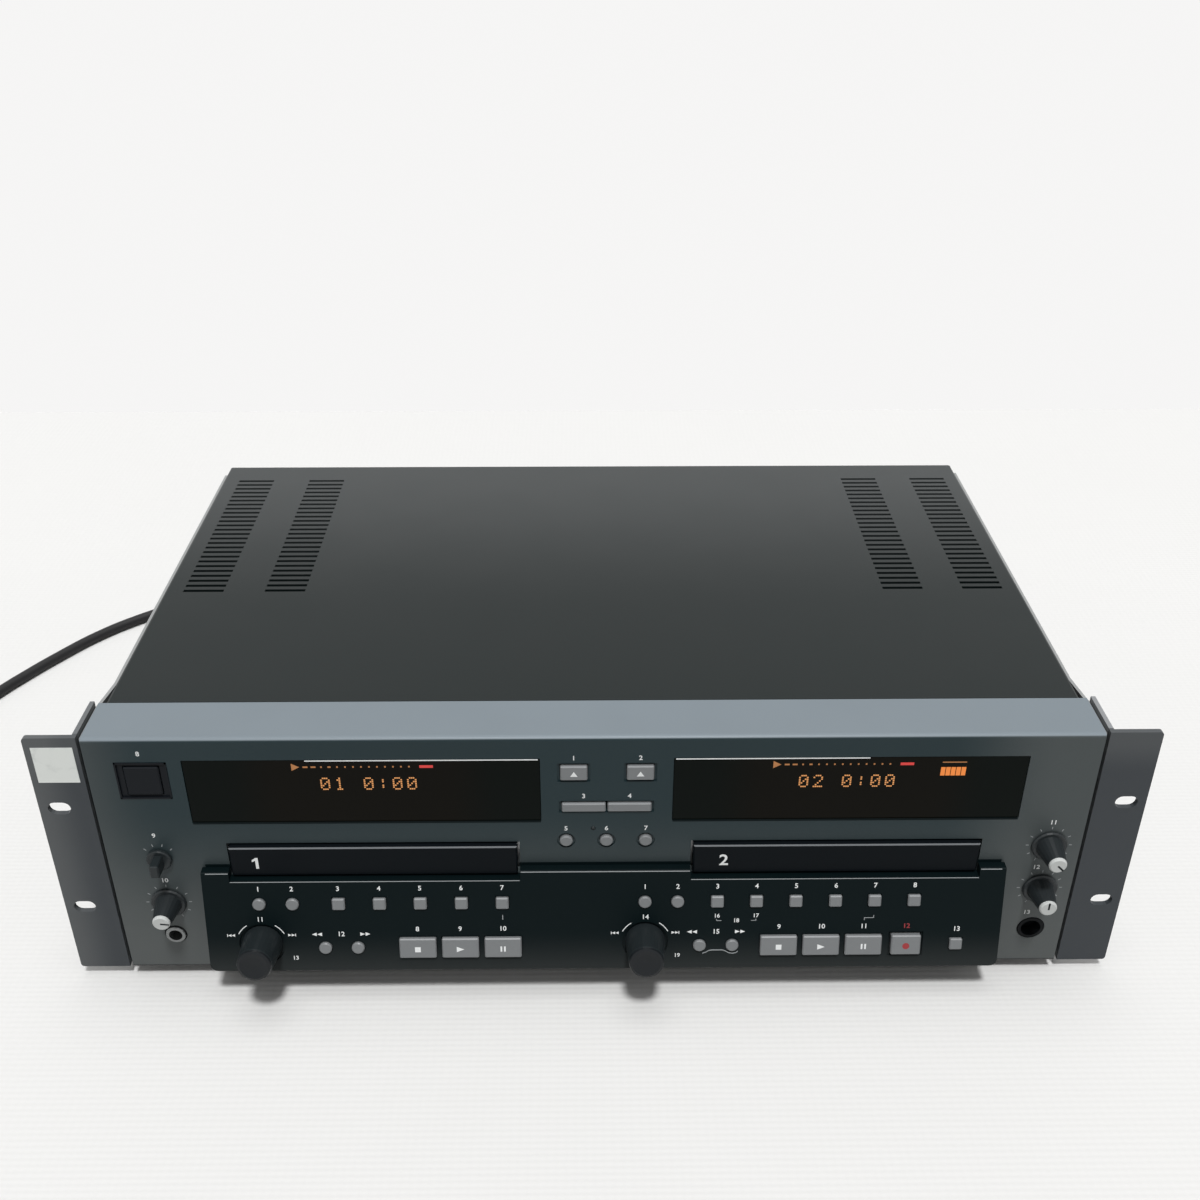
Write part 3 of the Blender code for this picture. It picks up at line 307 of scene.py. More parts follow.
def door_finish():
    """Black door with a painted highlight along the front edge of its top."""
    made = grained("door_moulding_and_painted_light", (0.005, 0.007, 0.009), 0.32, 0.0004, 0.000005, specular=0.05)
    door_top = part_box("disc_tray_1")[1].z
    highlight_width, door_reach = 0.00055, 0.0018
    # Painted highlight on the front edge of the door's top
    top = made.axis("Z").above(door_top - highlight_width)
    edge = top * made.axis("Y").below(panel_front - door_reach)
    made.set("Base Color", made.blend(edge, made.tone, (0.16, 0.17, 0.18, 1)))
    return made


def control_finish():
    """Black slanted panel with a painted reflection of the floor, greyer towards its lower edge.
    """
    made = grained("control_moulding_and_painted_light", (0.002, 0.006, 0.007), 0.50, 0.0004, 0.00001, specular=0.08)
    low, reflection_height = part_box("control_panel")[0].z, 0.030
    # Painted reflection of the floor: greyer towards the lower edge
    lower = made.axis("Z").fade(low + reflection_height, low)
    made.set("Base Color", made.blend(lower, made.tone, (0.034, 0.038, 0.038, 1)))
    return made


def paper_finish():
    """Blank paper label, a little scuffed and grubby."""
    made = Finish("label_paper", (0.83, 0.86, 0.83), 0.62)
    wear = made.noise(0.006, 5.0)
    fibre = made.noise(0.0007, 2.0)
    grubby = wear.fade(0.52, 0.80) * 0.6
    made.set("Base Color", made.blend(grubby, made.colour, (0.60, 0.63, 0.61, 1)))
    made.bump(wear + fibre * 0.4, 0.00005)
    return made


def pan_finish():
    """Galvanised steel; the feet below it are black rubber."""
    made = grained("pan_paint", (0.34, 0.35, 0.35), 0.40, 0.0016, 0.00001, metallic=0.5)
    foot_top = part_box("rack_ear_left")[0].z
    foot = made.axis("Z").below(foot_top - 0.0001)
    made.set("Base Color", made.blend(foot, made.tone, (0.016, 0.016, 0.016, 1)))
    made.set("Metallic", 0.5 - foot * 0.5)
    made.set("Roughness", 0.40 + foot * 0.4)
    return made


def window_finish():
    """Smoked glossy window with a painted glow, faintly brown where the display glows behind it.
    """
    made = Finish("smoked_window_and_painted_glow", (0.004, 0.006, 0.005), 0.10, specular=0.05)
    haze = made.noise(0.02, 2.0)
    across = made.axis("X")
    glow_end, glow_core = 0.060, 0.035
    near_left, near_right = [
        abs(across - (left + right) / 2).fade(glow_end, glow_core)
        for left, right in (window_left, window_right)
    ]
    near = near_left + near_right
    # Painted glow: faintly brown near the middle of each display
    made.set("Base Color", made.blend(near * 0.7, made.colour, (0.008, 0.006, 0.004, 1)))
    made.set("Roughness", haze * 0.08 + 0.06)
    return made


def dial_finish():
    """Black dials, darker on the dished front than on the side."""
    made = grained("dial_moulding", (0.016, 0.021, 0.023), 0.34, 0.0005, 0.00001, specular=0.26)
    reach = max(vert.co.dot(dial_axis) for vert in nodes["multi_dial_1"].data.vertices)
    along = made.axis("Y") * dial_axis.y + made.axis("Z") * dial_axis.z
    dish_depth = 0.0012
    front = along.above(reach - dish_depth)
    made.set("Base Color", made.blend(front, made.tone, (0.006, 0.008, 0.010, 1)))
    return made


def knob_finish():
    """Dark grey knob with a pale cap."""
    made = grained("knob_moulding", (0.015, 0.019, 0.021), 0.38, 0.0004, 0.00001, specular=0.35)
    cap_depth = 0.0013
    cap = made.axis("Y").below(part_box("level_knob")[0].y + cap_depth)
    made.set("Base Color", made.blend(cap, made.tone, (0.57, 0.59, 0.58, 1)))
    made.set("Roughness", 0.42 - cap * 0.06)
    return made


def board_finish():
    """Green board with solder tracks, and a mask for what stands on it."""
    made = grained("circuit_green", (0.018, 0.110, 0.050), 0.40, 0.0010, 0.00001)
    tracks = (made.axis("X").wave(0.0042) * made.axis("Y").wave(0.0057)).above(0.55)
    board_rise = 0.0077
    block = made.axis("Z").above(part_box("power_supply")[0].z + board_rise)
    base = made.blend(tracks, made.tone, (0.030, 0.19, 0.09, 1))
    return made, base, block


def main_board_finish():
    """Green board; black blocks and nickel socket barrels at the rear."""
    made, base, block = board_finish()
    barrel = made.axis("Y").above(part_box("chassis_pan")[1].y)
    dark = made.blend(block, base, (0.014, 0.014, 0.015, 1))
    made.set("Base Color", made.blend(barrel, dark, (0.62, 0.62, 0.60, 1)))
    made.set("Metallic", barrel)
    made.set("Roughness", 0.42 - barrel * 0.16)
    return made


def supply_finish():
    """Green board; a wrapped transformer and a finned heat sink on it."""
    made, base, block = board_finish()
    low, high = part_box("power_supply")
    sink_start = 0.58
    sink = made.axis("X").above(low.x + sink_start * (high.x - low.x))
    wrap = made.blend(sink, (0.42, 0.30, 0.06, 1), (0.50, 0.51, 0.52, 1))
    made.set("Base Color", made.blend(block, base, wrap))
    made.set("Metallic", block * sink)
    return made


def glow_finish(name, colour, strength):
    """Lit segment of a display."""
    made = Finish(name, (0.02, 0.012, 0.006), 0.4)
    flicker = made.noise(0.003, 1.0)
    made.set("Emission Color", made.blend(flicker, shade(colour, 0.82), (*colour, 1.0)))
    made.shader.inputs["Emission Strength"].default_value = strength
    return made


# Windows, from the fronts of the two blocks on the display board
board_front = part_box("display_board")[0].y
window_spots = [
    vert.co for vert in nodes["display_board"].data.vertices if vert.co.y < board_front + 0.0001
]


def window_span(side):
    """Left and right end of the window on one side of the middle."""
    spots = [spot for spot in window_spots if spot.x * side > 0]
    xs = [spot.x for spot in spots]
    return min(xs), max(xs)


window_left = window_span(-1)
window_right = window_span(1)
window_top = max(spot.z for spot in window_spots)
window_low = min(spot.z for spot in window_spots)

panel_paint = panel_finish()
ear_paint_and_painted_light = ear_finish()
cover_paint = cover_finish()
dial_moulding = dial_finish()
door_moulding_and_painted_light = door_finish()
control_moulding_and_painted_light = control_finish()
label_paper = paper_finish()
pan_paint = pan_finish()
smoked_window_and_painted_glow = window_finish()
knob_moulding = knob_finish()
main_board_green = main_board_finish()
supply_green = supply_finish()
amber_glow = glow_finish("amber_glow", (0.95, 0.40, 0.12), 0.80)
orange_glow = glow_finish("orange_glow", (1.0, 0.27, 0.03), 0.85)
dim_glow = glow_finish("dim_glow", (0.70, 0.27, 0.07), 0.55)
red_glow = glow_finish("red_glow", (0.85, 0.03, 0.03), 0.75)

named_finishes = {
    panel_paint: ["front_panel"],
    ear_paint_and_painted_light: ["rack_ear_left", "rack_ear_right"],
    cover_paint: ["top_cover"],
    pan_paint: ["chassis_pan"],
    control_moulding_and_painted_light: ["control_panel"],
    smoked_window_and_painted_glow: ["display_board"],
    bare_steel: ["disc_drive_1", "disc_drive_2"],
    door_moulding_and_painted_light: ["disc_tray_1", "disc_tray_2"],
    main_board_green: ["main_board"],
    supply_green: ["power_supply"],
    jack_nickel: ["phones_jack"],
    socket_moulding: ["keyboard_socket"],
    dial_moulding: ["multi_dial_1", "multi_dial_2", "phones_selector"],
    knob_moulding: ["level_knob", "input_knob", "balance_knob"],
    switch_moulding: ["power_button"],
    cord_rubber: ["cord_gland", "power_cord", "cord_coil", "mains_plug"],
}
finishes_by_node = {name: finish for finish, names in named_finishes.items() for name in names}
for name, node in nodes.items():
    finish = finishes_by_node.get(name, key_moulding)
    node.data.materials.clear()
    node.data.materials.append(finish.material)


# Helpers that make pieces
merge_distance = 0.0000005
sharp_angle = 0.6
figure_share = 0.72
boldness = 0.022


def piece(name, bm, finish, body):
    bmesh.ops.remove_doubles(bm, verts=bm.verts, dist=merge_distance)
    bmesh.ops.recalc_face_normals(bm, faces=bm.faces)
    mesh = bpy.data.meshes.new(name)
    bm.to_mesh(mesh)
    bm.free()
    mesh.shade_smooth()
    mesh.set_sharp_from_angle(angle=sharp_angle)
    mesh.materials.append(finish.material)
    made = linked(name, mesh)
    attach(made, body)


def strand(name, routes, radius, finish, sides, steps):
    """A round strand through the points of each route, all in one object."""
    curve = bpy.data.curves.new(name, "CURVE")
    curve.dimensions = "3D"
    curve.bevel_depth = radius
    curve.bevel_resolution = sides
    curve.resolution_u = steps
    curve.use_fill_caps = True
    for route in routes:
        spline = curve.splines.new("BEZIER")
        spline.bezier_points.add(len(route) - 1)
        for target, point in zip(spline.bezier_points, route):
            target.co = point
            target.handle_left_type = "AUTO"
            target.handle_right_type = "AUTO"
    curve.materials.append(finish.material)
    return linked(name, curve)


def surface(origin, up):
    """Turns flat work, with X to the right, Y up and Z outwards, onto a surface."""
    outward = right_way.cross(up)
    turn = Matrix((right_way, up, outward)).transposed().to_4x4()
    return Matrix.Translation(origin) @ turn


def bar(bm, onto, left, low, right, high, thickness=print_height, start=print_start):
    corners = bmesh.ops.create_cube(bm, size=1)["verts"]
    bmesh.ops.scale(bm, vec=(right - left, high - low, thickness - start), verts=corners)
    middle = ((left + right) / 2, (low + high) / 2, (thickness + start) / 2)
    bmesh.ops.translate(bm, vec=middle, verts=corners)
    bmesh.ops.transform(bm, matrix=onto, verts=corners)


def bar_about(bm, onto, middle, width, height):
    x, y = middle
    bar(bm, onto, x - width / 2, y - height / 2, x + width / 2, y + height / 2)


def plate(bm, onto, outline, thickness=print_height):
    corners = [bm.verts.new((x, y, print_start)) for x, y in outline]
    face = bm.faces.new(corners)
    grown = bmesh.ops.extrude_face_region(bm, geom=[face])["geom"]
    moved = [item for item in grown if isinstance(item, bmesh.types.BMVert)]
    bmesh.ops.translate(bm, vec=(0, 0, thickness - print_start), verts=moved)
    bmesh.ops.transform(bm, matrix=onto, verts=corners + moved)


def around(middle, radius, angle):
    return middle[0] + radius * cos(angle), middle[1] + radius * sin(angle)


def arc(bm, onto, middle, radius, width, start, end, steps, thickness=print_height):
    """Flat band on an arc; angles run anticlockwise from the right."""
    angles = [start + (end - start) * index / steps for index in range(steps + 1)]
    outline = []
    for reach, way in ((radius + width / 2, angles), (radius - width / 2, angles[::-1])):
        outline += [around(middle, reach, angle) for angle in way]
    plate(bm, onto, outline, thickness)


def disc(bm, onto, middle, radius, steps):
    angles = [2 * pi * index / steps for index in range(steps)]
    plate(bm, onto, [around(middle, radius, angle) for angle in angles])


def number(bm, onto, words, middle, height):
    """Plain figures, centred; their height is that of the figures themselves."""
    curve = bpy.data.curves.new("figures", "FONT")
    curve.body = words
    curve.size = height / figure_share
    curve.align_x = "CENTER"
    curve.align_y = "CENTER"
    curve.extrude = print_height
    curve.offset = height * boldness
    curve.resolution_u = 3
    holder = linked("figures", curve)
    mesh = bpy.data.meshes.new_from_object(holder)
    known = set(bm.verts)
    bm.from_mesh(mesh)
    fresh = [vert for vert in bm.verts if vert not in known]
    place = onto @ Matrix.Translation((middle[0], middle[1], 0))
    bmesh.ops.transform(bm, matrix=place, verts=fresh)
    bpy.data.objects.remove(holder)
    bpy.data.curves.remove(curve)
    bpy.data.meshes.remove(mesh)


def front_of(node, outward):
    """The middle of a node's front, seen along the outward direction."""
    low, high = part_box(node)
    middle = (low + high) / 2
    reach = max(vert.co.dot(outward) for vert in nodes[node].data.vertices)
    return middle + outward * (reach - middle.dot(outward))


panel_face = surface(Vector((0, panel_front, 0)), up_way)
control_face = surface(Vector((0, dial_spot.y, dial_spot.z)), slant_up)


def key_top(node):
    """The top of a key on the slanted face."""
    return surface(front_of(node, dial_axis), slant_up)


def face_rise(height):
    """How far up the slanted face a height above the floor lies."""
    return (height - dial_spot.z) / slant_up.z


def on_control(node):
    """Where a key's middle falls on the slanted face, across and upward."""
    spot = control_face.inverted() @ front_of(node, dial_axis)
    return spot.x, spot.y


# Cord: its route in metres, the same as in the solid model
cord_diameter = 0.0065
cord_route = (
    (-0.1702, 0.1950, 0.0338),
    (-0.1722, 0.2080, 0.0275),
    (-0.1780, 0.2200, 0.0165),
    (-0.1890, 0.2310, 0.0070),
    (-0.2060, 0.2390, 0.00370),
    (-0.2300, 0.2380, 0.00330),
    (-0.2560, 0.2280, 0.00325),
    (-0.2830, 0.2130, 0.00325),
    (-0.3050, 0.1970, 0.00325),
    (-0.3255, 0.1765, 0.00325),
    (-0.3430, 0.1520, 0.00325),
    (-0.3560, 0.1310, 0.00325),
    (-0.3670, 0.1110, 0.00325),
    (-0.3770, 0.0880, 0.00325),
)
coil_turns = 3
coil_points = 24
coil_mid_radius = 0.0385
coil_pitch = 0.0071
coil_layer = 0.0070
coil_centre = (-0.4345, 0.0350)
coil_lead = 0.0080
coil_tail = 0.0440


def coil_route():
    """Points of the coil: inward on the floor, up one layer, outward on top."""
    inward = coil_turns * 2 * pi
    total = 2 * inward + pi
    outermost = coil_mid_radius + coil_turns * coil_pitch / 2
    count = int(round(total / (2 * pi) * coil_points))
    points = []
    for index in range(count + 1):
        angle = total * index / count
        radius = outermost - coil_pitch * min(angle, total - angle) / (2 * pi)
        climb = min(max((angle - inward) / pi, 0), 1)
        rise = coil_layer * (1 - cos(pi * climb)) / 2
        x = coil_centre[0] + radius * cos(angle)
        y = coil_centre[1] - radius * sin(angle)
        points.append(Vector((x, y, cord_diameter / 2 + rise)))
    start = points[0] + Vector((0, coil_lead, 0))
    end = points[-1] + Vector((0, coil_tail, 0))
    return [start] + points + [end]


def mains_cord():
    low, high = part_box("cord_gland")
    exit_spot = Vector(((low.x + high.x) / 2, high.y, (low.z + high.z) / 2))
    coil = coil_route()
    leave = exit_spot + Vector((0, 2 * cord_diameter, 0))
    arrive = coil[0] + Vector((0, 2 * cord_diameter, 0))
    route = [exit_spot, leave] + [Vector(point) for point in cord_route] + [arrive] + coil
    lead = strand("mains_lead", [route], cord_diameter / 2, cord_rubber, sides=5, steps=6)
    length = sum((second - first).length for first, second in zip(route, route[1:]))
    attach(lead, "root")
    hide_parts("power_cord", "cord_coil")


mains_cord()


# Printed marks
def triangle(bm, onto, middle, width, height, way):
    """Triangle that points up, left or right."""
    x, y = middle
    half, rise = width / 2, height / 2
    if way == "up":
        outline = ((x - half, y - rise), (x + half, y - rise), (x, y + rise))
    else:
        side = 1 if way == "right" else -1
        outline = ((x - side * half, y - rise), (x + side * half, y), (x - side * half, y + rise))
    plate(bm, onto, outline)


# Symbols, measured from the middle of each key: middle, width and height of an arrow,
# or left, low, right and high of a bar
eject_arrow = ((0, -0.0002), 0.0032, 0.0026)
play_arrow = ((0, -0.0004), 0.0034, 0.0028)
stop_bar = (-0.0013, -0.0017, 0.0013, 0.0009)
pause_bars = ((-0.0012, -0.0017, -0.0004, 0.0010), (0.0004, -0.0017, 0.0012, 0.0010))
record_spot = (0, -0.0003)
record_radius = 0.0016


def key_symbols():
    for node in ("open_key_1", "open_key_2"):
        bm = bmesh.new()
        triangle(bm, surface(front_of(node, front_way), up_way), *eject_arrow, "up")
        piece(node + "_symbol", bm, white_print_and_painted_light, node)
    for bank in ("left", "right"):
        for action in ("stop", "play", "pause"):
            node = f"{bank}_{action}_key"
            bm = bmesh.new()
            if action == "play":
                triangle(bm, key_top(node), *play_arrow, "right")
            else:
                for corners in [stop_bar] if action == "stop" else pause_bars:
                    bar(bm, key_top(node), *corners)
            piece(node + "_symbol", bm, white_print_and_painted_light, node)
    bm = bmesh.new()
    disc(bm, key_top("record_key"), record_spot, record_radius, 20)
    piece("record_key_symbol", bm, red_print, "record_key")


key_symbols()


# Figures in place of words
label_height = 0.0024
small_figure_height = 0.0020

# The figure on each door: how high its middle is, and how far from the door's left end
door_figure_height = 0.0062
door_figure_rise = 0.0072
door_figure_insets = {"disc_tray_1": ("1", 0.0115), "disc_tray_2": ("2", 0.0136)}
# A "1" with a flag, for a figure of height 1 about its middle
one_outline = ((-0.06, -0.5), (0.15, -0.5), (0.15, 0.5), (-0.02, 0.5))
one_outline += ((-0.30, 0.30), (-0.30, 0.12), (-0.06, 0.24))


def door_figures():
    for tray, (figure, inset) in door_figure_insets.items():
        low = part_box(tray)[0]
        bm = bmesh.new()
        onto = surface(Vector((low.x + inset, low.y, low.z + door_figure_rise)), up_way)
        if figure == "1":
            outline = [(x * door_figure_height, y * door_figure_height) for x, y in one_outline]
            plate(bm, onto, outline)
        else:
            number(bm, onto, figure, (0, 0), door_figure_height)
        piece(tray + "_figure", bm, white_print_and_painted_light, tray)


door_figures()


def bank_keys(bank, squares):
    """Keys of one bank, in the order of their numbers."""
    names = [f"{bank}_round_key_{place}" for place in (1, 2)]
    names += [f"{bank}_square_key_{place}" for place in range(1, squares + 1)]
    return names + [f"{bank}_{action}_key" for action in ("stop", "play", "pause")]


left_keys = bank_keys("left", 5)
right_keys = bank_keys("right", 6) + ["record_key", "input_key"]

# Print on the slanted face, measured from the middle of the key or the dial
small_label_rise = 0.0075
wide_label_rise = 0.0092
search_label_rise = 0.0069
dial_label_rise = 0.0128
small_figure_drop = 0.0076
pair_figure_drop = 0.0101
dial_side_figure = Vector((0.0146, -0.0073))
dial_arc_radius = 0.0116
dial_arc_width = 0.0004
dial_arcs = ((28, 57), (123, 152))
dial_arrow_rise = 0.0047
dial_arrow_height = 0.0014
dial_stop_reach = 0.0153
line_width = 0.00036
link_half = 0.00022
bracket_width = 0.0003
pair_left, pair_row = on_control("right_square_key_1")
pair_right = on_control("right_square_key_2")[0]


def arrow_pairs(bm, middle, reach, pitch, width, height):
    """Two arrowheads on each side of a spot, pointing away from it."""
    for side, way in ((-1, "left"), (1, "right")):
        for step in (0, 1):
            spot = (middle[0] + side * (reach + pitch * step), middle[1])
            triangle(bm, control_face, spot, width, height, way)


def control_print():
    bm = bmesh.new()
    red = bmesh.new()
    for keys in (left_keys, right_keys):
        for order, node in enumerate(keys, 1):
            x, y = on_control(node)
            wide = any(word in node for word in ("stop", "play", "pause", "record"))
            rise = wide_label_rise if wide else small_label_rise
            target = red if node == "record_key" else bm
            number(target, control_face, str(order), (x, y + rise), label_height)
    piece("record_figure", red, red_print, "root")
    for figure, middle in (
        ("16", (pair_left, pair_row - small_figure_drop)),
        ("17", (pair_right, pair_row - small_figure_drop)),
        ("18", ((pair_left + pair_right) / 2, pair_row - pair_figure_drop)),
    ):
        number(bm, control_face, figure, middle, small_figure_height)
    for dial, figure, side_figure in (("multi_dial_1", "11", "13"), ("multi_dial_2", "14", "19")):
        x = on_control(dial)[0]
        number(bm, control_face, figure, (x, dial_label_rise), label_height)
        spot = (x + dial_side_figure.x, dial_side_figure.y)
        number(bm, control_face, side_figure, spot, small_figure_height)
        for ends in dial_arcs:
            start, end = map(radians, ends)
            arc(bm, control_face, (x, 0), dial_arc_radius, dial_arc_width, start, end, 8)
        spot = (x, dial_arrow_rise)
        arrow_pairs(bm, spot, reach=0.0127, pitch=0.0016, width=0.0015, height=dial_arrow_height)
        for tip in (x - dial_stop_reach, x + dial_stop_reach):
            spot = (tip, dial_arrow_rise)
            bar_about(bm, control_face, spot, line_width, dial_arrow_height)
    for bank, figure in (("left", "12"), ("right", "15")):
        back = on_control(bank + "_search_back_key")
        forward = on_control(bank + "_search_forward_key")
        middle = ((back[0] + forward[0]) / 2, back[1] + search_label_rise)
        number(bm, control_face, figure, middle, label_height)
        arrow_pairs(bm, middle, reach=0.0097, pitch=0.0024, width=0.0022, height=0.0018)
    piece("control_print", bm, white_print_and_painted_light, "root")


def line_marks():
    """Grey lines under the keys: a wavy link, a tick and two brackets."""
    bm = bmesh.new()
    back, low = on_control("right_search_back_key")
    forward = on_control("right_search_forward_key")[0]
    link = (
        (back + 0.0015, low - 0.0044),
        (back + 0.0030, low - 0.0038),
        (back + 0.0044, low - 0.0029),
        (back + 0.0058, low - 0.0027),
        (forward - 0.0044, low - 0.0027),
        (forward - 0.0032, low - 0.0031),
        (forward - 0.0014, low - 0.0042),
        (forward + 0.0004, low - 0.0045),
        (forward + 0.0019, low - 0.0042),
        (forward + 0.0028, low - 0.0034),
    )
    upper = [(x, y + link_half) for x, y in link]
    lower = [(x, y - link_half) for x, y in link]
    plate(bm, control_face, lower + upper[::-1])
    x, y = on_control("left_square_key_5")
    bar_about(bm, control_face, (x, y - 0.0076), line_width, 0.0024)
    x, y = on_control("right_square_key_5")
    bar(bm, control_face, x - 0.0039, y - 0.0092, x + 0.0003, y - 0.0089)
    bar(bm, control_face, x - 0.0042, y - 0.0103, x - 0.0039, y - 0.0089)
    bar(bm, control_face, x, y - 0.0092, x + 0.0003, y - 0.0077)
    for end, side in ((pair_left + 0.0010, 1), (pair_right - 0.0010, -1)):
        bar_about(bm, control_face, (end, pair_row - 0.01005), 0.0022, bracket_width)
        hook = (end - side * 0.0011, pair_row - 0.0097)
        bar_about(bm, control_face, hook, bracket_width, 0.0010)
    piece("line_marks", bm, grey_print_and_painted_light, "root")


control_print()
line_marks()

# Print on the upright panel: how far each figure stands over the middle of its piece
open_label_rise = 0.0076
bar_label_rise = 0.0058
round_label_rise = 0.0067
panel_key_figures = (
    ("open_key_1", "1", open_label_rise),
    ("open_key_2", "2", open_label_rise),
    ("bar_key_left", "3", bar_label_rise),
    ("bar_key_right", "4", bar_label_rise),
    ("display_key_1", "5", round_label_rise),
    ("repeat_key", "6", round_label_rise),
    ("display_key_2", "7", round_label_rise),
)
# The same for the larger pieces, after a step to the side
panel_figures = (
    ("power_button", "8", 0.0, 0.0142),
    ("phones_selector", "9", -0.0006, 0.0130),
    ("level_knob", "10", 0.0, 0.0128),
    ("input_knob", "11", 0.0, 0.0128),
    ("balance_knob", "12", -0.0034, 0.0122),
    ("keyboard_socket", "13", -0.0033, 0.0096),
)
# Ticks round each knob: half the span in degrees, their number and where they start
knob_ticks = (
    ("level_turn", 150, 11, 0.0090),
    ("input_turn", 150, 11, 0.0090),
    ("balance_turn", 150, 11, 0.0090),
    ("selector_turn", 48, 4, 0.0071),
)
tick_length = 0.0013


def panel_print():
    bm = bmesh.new()
    for node, figure, rise in panel_key_figures:
        spot = front_of(node, front_way)
        number(bm, panel_face, figure, (spot.x, spot.z + rise), label_height)
    for node, figure, across, rise in panel_figures:
        low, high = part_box(node)
        spot = ((low.x + high.x) / 2 + across, (low.z + high.z) / 2 + rise)
        number(bm, panel_face, figure, spot, label_height)
    piece("panel_print", bm, white_print_and_painted_light, "root")

    bm = bmesh.new()
    half = line_width / 2
    for joint, span, count, radius in knob_ticks:
        spot = Vector(joints[joint]["pos_m"])
        for index in range(count):
            angle = radians(90 + span - 2 * span * index / (count - 1))
            turn = Matrix.Translation((spot.x, spot.z, 0)) @ Matrix.Rotation(angle, 4, "Z")
            bar(bm, panel_face @ turn, radius, -half, radius + tick_length, half)
    piece("dial_marks", bm, grey_print_and_painted_light, "root")


panel_print()


# Where each pointer stands in the photograph, in degrees clockwise from the top
pointer_angles = (
    ("level_knob", "level_turn", 97),
    ("input_knob", "input_turn", 135),
    ("balance_knob", "balance_turn", 0),
)
pointer_corners = (-0.00042, -0.0003, 0.00042, 0.0036)


def knob_pointers():
    """Dark line on each cap."""
    for node, joint, angle in pointer_angles:
        spot = Vector(joints[joint]["pos_m"])
        spot.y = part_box(node)[0].y
        bm = bmesh.new()
        turn = Matrix.Rotation(radians(-angle), 4, "Z")
        bar(bm, surface(spot, up_way) @ turn, *pointer_corners)
        piece(node + "_pointer", bm, switch_moulding, node)


knob_pointers()


# Displays: plain figures in dots, a level scale above them
figure_dots = {
    "0": ("01110", "10001", "10011", "10101", "11001", "10001", "01110"),
    "1": ("00100", "01100", "00100", "00100", "00100", "00100", "01110"),
    "2": ("01110", "10001", "00001", "00010", "00100", "01000", "11111"),
    ":": ("00000", "00100", "00100", "00000", "00100", "00100", "00000"),
    " ": ("00000",) * 7,
}
dot_pitch_x = 0.00084
dot_pitch_y = 0.00098
dot_size = 0.00068
figure_pitch = 0.0062
# Places in a window, from its left end and down from its top
clock_across, clock_drop = 0.0783, 0.0127
row_drop = 0.0037
arrow_across = 0.0478
scale_across = 0.0520
scale_marks = 14
scale_pitch = 0.0034
scale_height = 0.0008
red_start, red_end, red_half = 0.1006, 0.1064, 0.0007
block_across, block_pitch, block_width = 0.1183, 0.00222, 0.0019
block_low, block_high = 0.0101, 0.0056
rule_start, rule_end, rule_low, rule_high = 0.1186, 0.1290, 0.0032, 0.0027
right_shift = 0.0038


def dot_figures(bm, onto, words, middle):
    for place, figure in enumerate(words):
        left = middle[0] + (place - (len(words) - 1) / 2) * figure_pitch - 2 * dot_pitch_x
        for row, dots in enumerate(figure_dots[figure]):
            y = middle[1] + (3 - row) * dot_pitch_y
            for column, dot in enumerate(dots):
                if dot == "1":
                    x = left + column * dot_pitch_x
                    bar_about(bm, onto, (x, y), dot_size, dot_size)


def displays():
    glass = surface(Vector((0, board_front, 0)), up_way)
    top = window_top
    right_start = window_right[0] - right_shift
    bright = bmesh.new()
    scale = bmesh.new()
    red = bmesh.new()
    row = top - row_drop
    for left, words in ((window_left[0], "01 0:00"), (right_start, "02 0:00")):
        dot_figures(bright, glass, words, (left + clock_across, top - clock_drop))
        triangle(scale, glass, (left + arrow_across, row), 0.0034, 0.0038, "right")
        for index in range(scale_marks):
            x = left + scale_across + index * scale_pitch
            wide = 0.0021 if index < 2 else 0.0013 if index == 3 else 0.0007
            bar_about(scale, glass, (x, row), wide, scale_height)
        bar(red, glass, left + red_start, row - red_half, left + red_end, row + red_half)
    bm = bmesh.new()
    for index in range(5):
        x = right_start + block_across + index * block_pitch
        bar(bm, glass, x, top - block_low, x + block_width, top - block_high)
    piece("display_block", bm, orange_glow, "root")
    start, end = right_start + rule_start, right_start + rule_end
    bar(scale, glass, start, top - rule_low, end, top - rule_high)
    piece("display_figures", bright, amber_glow, "root")
    piece("display_scales", scale, dim_glow, "root")
    piece("display_red_ends", red, red_glow, "root")


displays()


# Front: painted highlights as bright lines over the windows and under the tray mouths and as the
# grey edge of the control panel, painted shade as dark bars above that edge, dark lines along the
# windows' lower edges, the blank label and the small lamp
bright_left = -0.124
bright_right = 0.118
bright_inset = 0.0006
bright_low, bright_high = 0.00045, 0.0001
mouth_height = 0.0633
mouth_reach = 0.0008
mouth_gap = 0.0014
edge_inset = 0.0020
edge_width = 0.0004
ledge_shade_reach = 0.0006
label_corners = (-0.2384, 0.1146, -0.2206, 0.1331)
label_thickness = 0.00012
lamp_spot = Vector((-0.00082, panel_front + 0.0006, 0.08847))
lamp_radius = 0.00105


